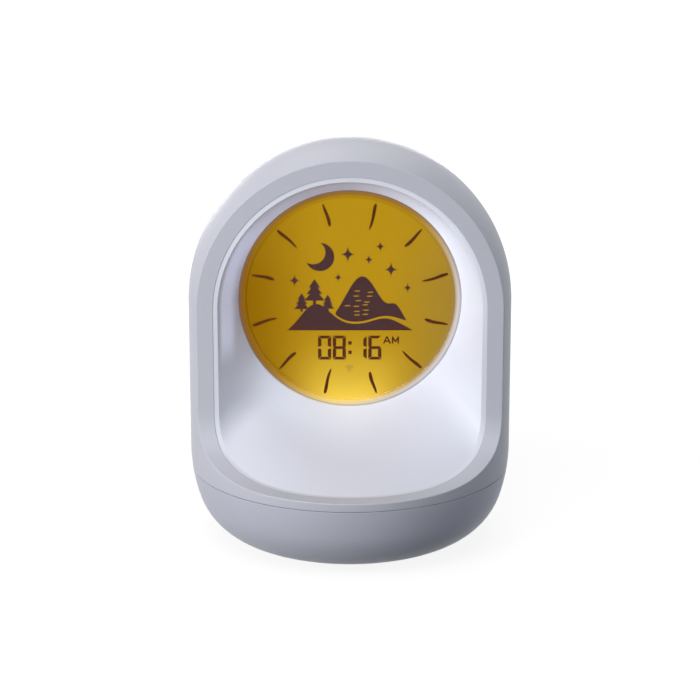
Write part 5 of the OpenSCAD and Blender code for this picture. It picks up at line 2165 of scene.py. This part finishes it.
def make_world():
    """Dim even light for the object, and white behind it."""
    world = bpy.data.worlds.new("studio")
    world.use_nodes = True
    tree = world.node_tree
    tree.nodes.clear()
    end = tree.nodes.new("ShaderNodeOutputWorld")
    rays = tree.nodes.new("ShaderNodeLightPath")
    dim = tree.nodes.new("ShaderNodeBackground")
    dim.inputs["Color"].default_value = WORLD_TINT
    dim.inputs["Strength"].default_value = WORLD_LEVEL
    white = tree.nodes.new("ShaderNodeBackground")
    white.inputs["Color"].default_value = (1, 1, 1, 1)
    white.inputs["Strength"].default_value = 1.0
    shown = tree.nodes.new("ShaderNodeMath")
    shown.operation = "MAXIMUM"
    tree.links.new(rays.outputs["Is Camera Ray"], shown.inputs[0])
    tree.links.new(rays.outputs["Is Transmission Ray"], shown.inputs[1])
    mirrored_too = tree.nodes.new("ShaderNodeMath")
    mirrored_too.operation = "MAXIMUM"
    tree.links.new(shown.outputs[0], mirrored_too.inputs[0])
    tree.links.new(rays.outputs["Is Glossy Ray"], mirrored_too.inputs[1])
    mixed = tree.nodes.new("ShaderNodeMixShader")
    tree.links.new(mirrored_too.outputs[0], mixed.inputs[0])
    tree.links.new(dim.outputs[0], mixed.inputs[1])
    tree.links.new(white.outputs[0], mixed.inputs[2])
    tree.links.new(mixed.outputs[0], end.inputs["Surface"])
    bpy.context.scene.world = world


def make_stage():
    """Floor, lamps, world and camera."""
    scene = bpy.context.scene
    mesh = bpy.data.meshes.new("floor")
    corners = [(x * FLOOR_REACH, y * FLOOR_REACH, 0) for x, y in ((-1, -1), (1, -1), (1, 1), (-1, 1))]
    mesh.from_pydata(corners, [], [(0, 1, 2, 3)])
    mesh.materials.append(floor_paint())
    floor = bpy.data.objects.new("floor", mesh)
    scene.collection.objects.link(floor)
    make_world()
    for name, place, width, height, power, tint in LAMPS:
        area_lamp(name, place, width, height, power, tint)
    data = bpy.data.cameras.new("camera")
    data.lens = CAMERA_LENS
    data.sensor_width = CAMERA_SENSOR
    camera = bpy.data.objects.new("camera", data)
    camera.location = CAMERA_PLACE
    camera.rotation_euler = (radians(90 - CAMERA_FALL), 0, 0)
    scene.collection.objects.link(camera)
    scene.camera = camera
    scene.view_settings.view_transform = "Standard"


# ================= Operators and panel =================


class CLOCK_OT_stage(bpy.types.Operator):
    """Makes the floor, the lamps and the camera"""

    bl_idname = "clock.stage"
    bl_label = "Stage"

    def execute(self, context):
        make_stage()
        return {"FINISHED"}


class CLOCK_OT_front(bpy.types.Operator):
    """Makes the front shell with its rim"""

    bl_idname = "clock.front"
    bl_label = "Front shell"

    def execute(self, context):
        front_housing()
        return {"FINISHED"}


class CLOCK_OT_rear(bpy.types.Operator):
    """Makes the rear shell"""

    bl_idname = "clock.rear"
    bl_label = "Rear shell"

    def execute(self, context):
        rear_cover()
        return {"FINISHED"}


class CLOCK_OT_base(bpy.types.Operator):
    """Makes the base"""

    bl_idname = "clock.base"
    bl_label = "Base"

    def execute(self, context):
        base_cap()
        return {"FINISHED"}


class CLOCK_OT_scoop(bpy.types.Operator):
    """Makes the pale panel round the dial"""

    bl_idname = "clock.scoop"
    bl_label = "Scoop"

    def execute(self, context):
        scoop_panel()
        return {"FINISHED"}


class CLOCK_OT_dial(bpy.types.Operator):
    """Makes the lens, the ring and the film"""

    bl_idname = "clock.dial"
    bl_label = "Dial"

    def execute(self, context):
        display_lens()
        night_light_ring()
        dial_film()
        return {"FINISHED"}


class CLOCK_OT_picture(bpy.types.Operator):
    """Makes the picture of the dial"""

    bl_idname = "clock.picture"
    bl_label = "Picture"

    def execute(self, context):
        picture_print()
        return {"FINISHED"}


class CLOCK_OT_time(bpy.types.Operator):
    """Makes the time and the signal arcs"""

    bl_idname = "clock.time"
    bl_label = "Time"

    def execute(self, context):
        time_print()
        return {"FINISHED"}


class CLOCK_OT_strokes(bpy.types.Operator):
    """Makes the strokes and dashes"""

    bl_idname = "clock.strokes"
    bl_label = "Strokes"

    def execute(self, context):
        stroke_prints()
        dash_prints()
        return {"FINISHED"}


class CLOCK_OT_panel(bpy.types.Operator):
    """Makes the button panel and the marks"""

    bl_idname = "clock.panel"
    bl_label = "Button panel"

    def execute(self, context):
        rear_panel()
        button_marks()
        return {"FINISHED"}


class CLOCK_OT_buttons(bpy.types.Operator):
    """Gives the keys their plastic"""

    bl_idname = "clock.buttons"
    bl_label = "Buttons"

    def execute(self, context):
        dress_buttons()
        return {"FINISHED"}


class CLOCK_OT_inside(bpy.types.Operator):
    """Gives the inner pieces their materials"""

    bl_idname = "clock.inside"
    bl_label = "Inside"

    def execute(self, context):
        dress_inside()
        return {"FINISHED"}


OPERATORS = (
    CLOCK_OT_stage,
    CLOCK_OT_front,
    CLOCK_OT_rear,
    CLOCK_OT_base,
    CLOCK_OT_scoop,
    CLOCK_OT_dial,
    CLOCK_OT_picture,
    CLOCK_OT_time,
    CLOCK_OT_strokes,
    CLOCK_OT_panel,
    CLOCK_OT_buttons,
    CLOCK_OT_inside,
)


class CLOCK_PT_tools(bpy.types.Panel):
    """Lists the clock's settings and its pieces in the sidebar."""

    bl_label = "Bedside Clock"
    bl_idname = "CLOCK_PT_tools"
    bl_space_type = "VIEW_3D"
    bl_region_type = "UI"
    bl_category = "Clock"

    def draw(self, context):
        column = self.layout.column()
        for group in (context.scene.clock_sizes, context.scene.clock_colours):
            for name in group.__annotations__:
                column.prop(group, name)
        for made in OPERATORS:
            column.operator(made.bl_idname)


CLASSES = (ClockSizes, ClockColours, *OPERATORS, CLOCK_PT_tools)


def register():
    """Makes the settings, the operators and the panel known."""
    for made in CLASSES:
        bpy.utils.register_class(made)
    bpy.types.Scene.clock_sizes = PointerProperty(type=ClockSizes)
    bpy.types.Scene.clock_colours = PointerProperty(type=ClockColours)


def unregister():
    """Takes back what register made known."""
    del bpy.types.Scene.clock_colours
    del bpy.types.Scene.clock_sizes
    for made in reversed(CLASSES):
        bpy.utils.unregister_class(made)


def main():
    """Builds the clock."""
    register()
    bpy.ops.clock.stage()
    bpy.ops.clock.front()
    bpy.ops.clock.rear()
    bpy.ops.clock.base()
    bpy.ops.clock.scoop()
    bpy.ops.clock.dial()
    bpy.ops.clock.picture()
    bpy.ops.clock.time()
    bpy.ops.clock.strokes()
    bpy.ops.clock.panel()
    bpy.ops.clock.buttons()
    bpy.ops.clock.inside()


if __name__ == "__main__":
    main()
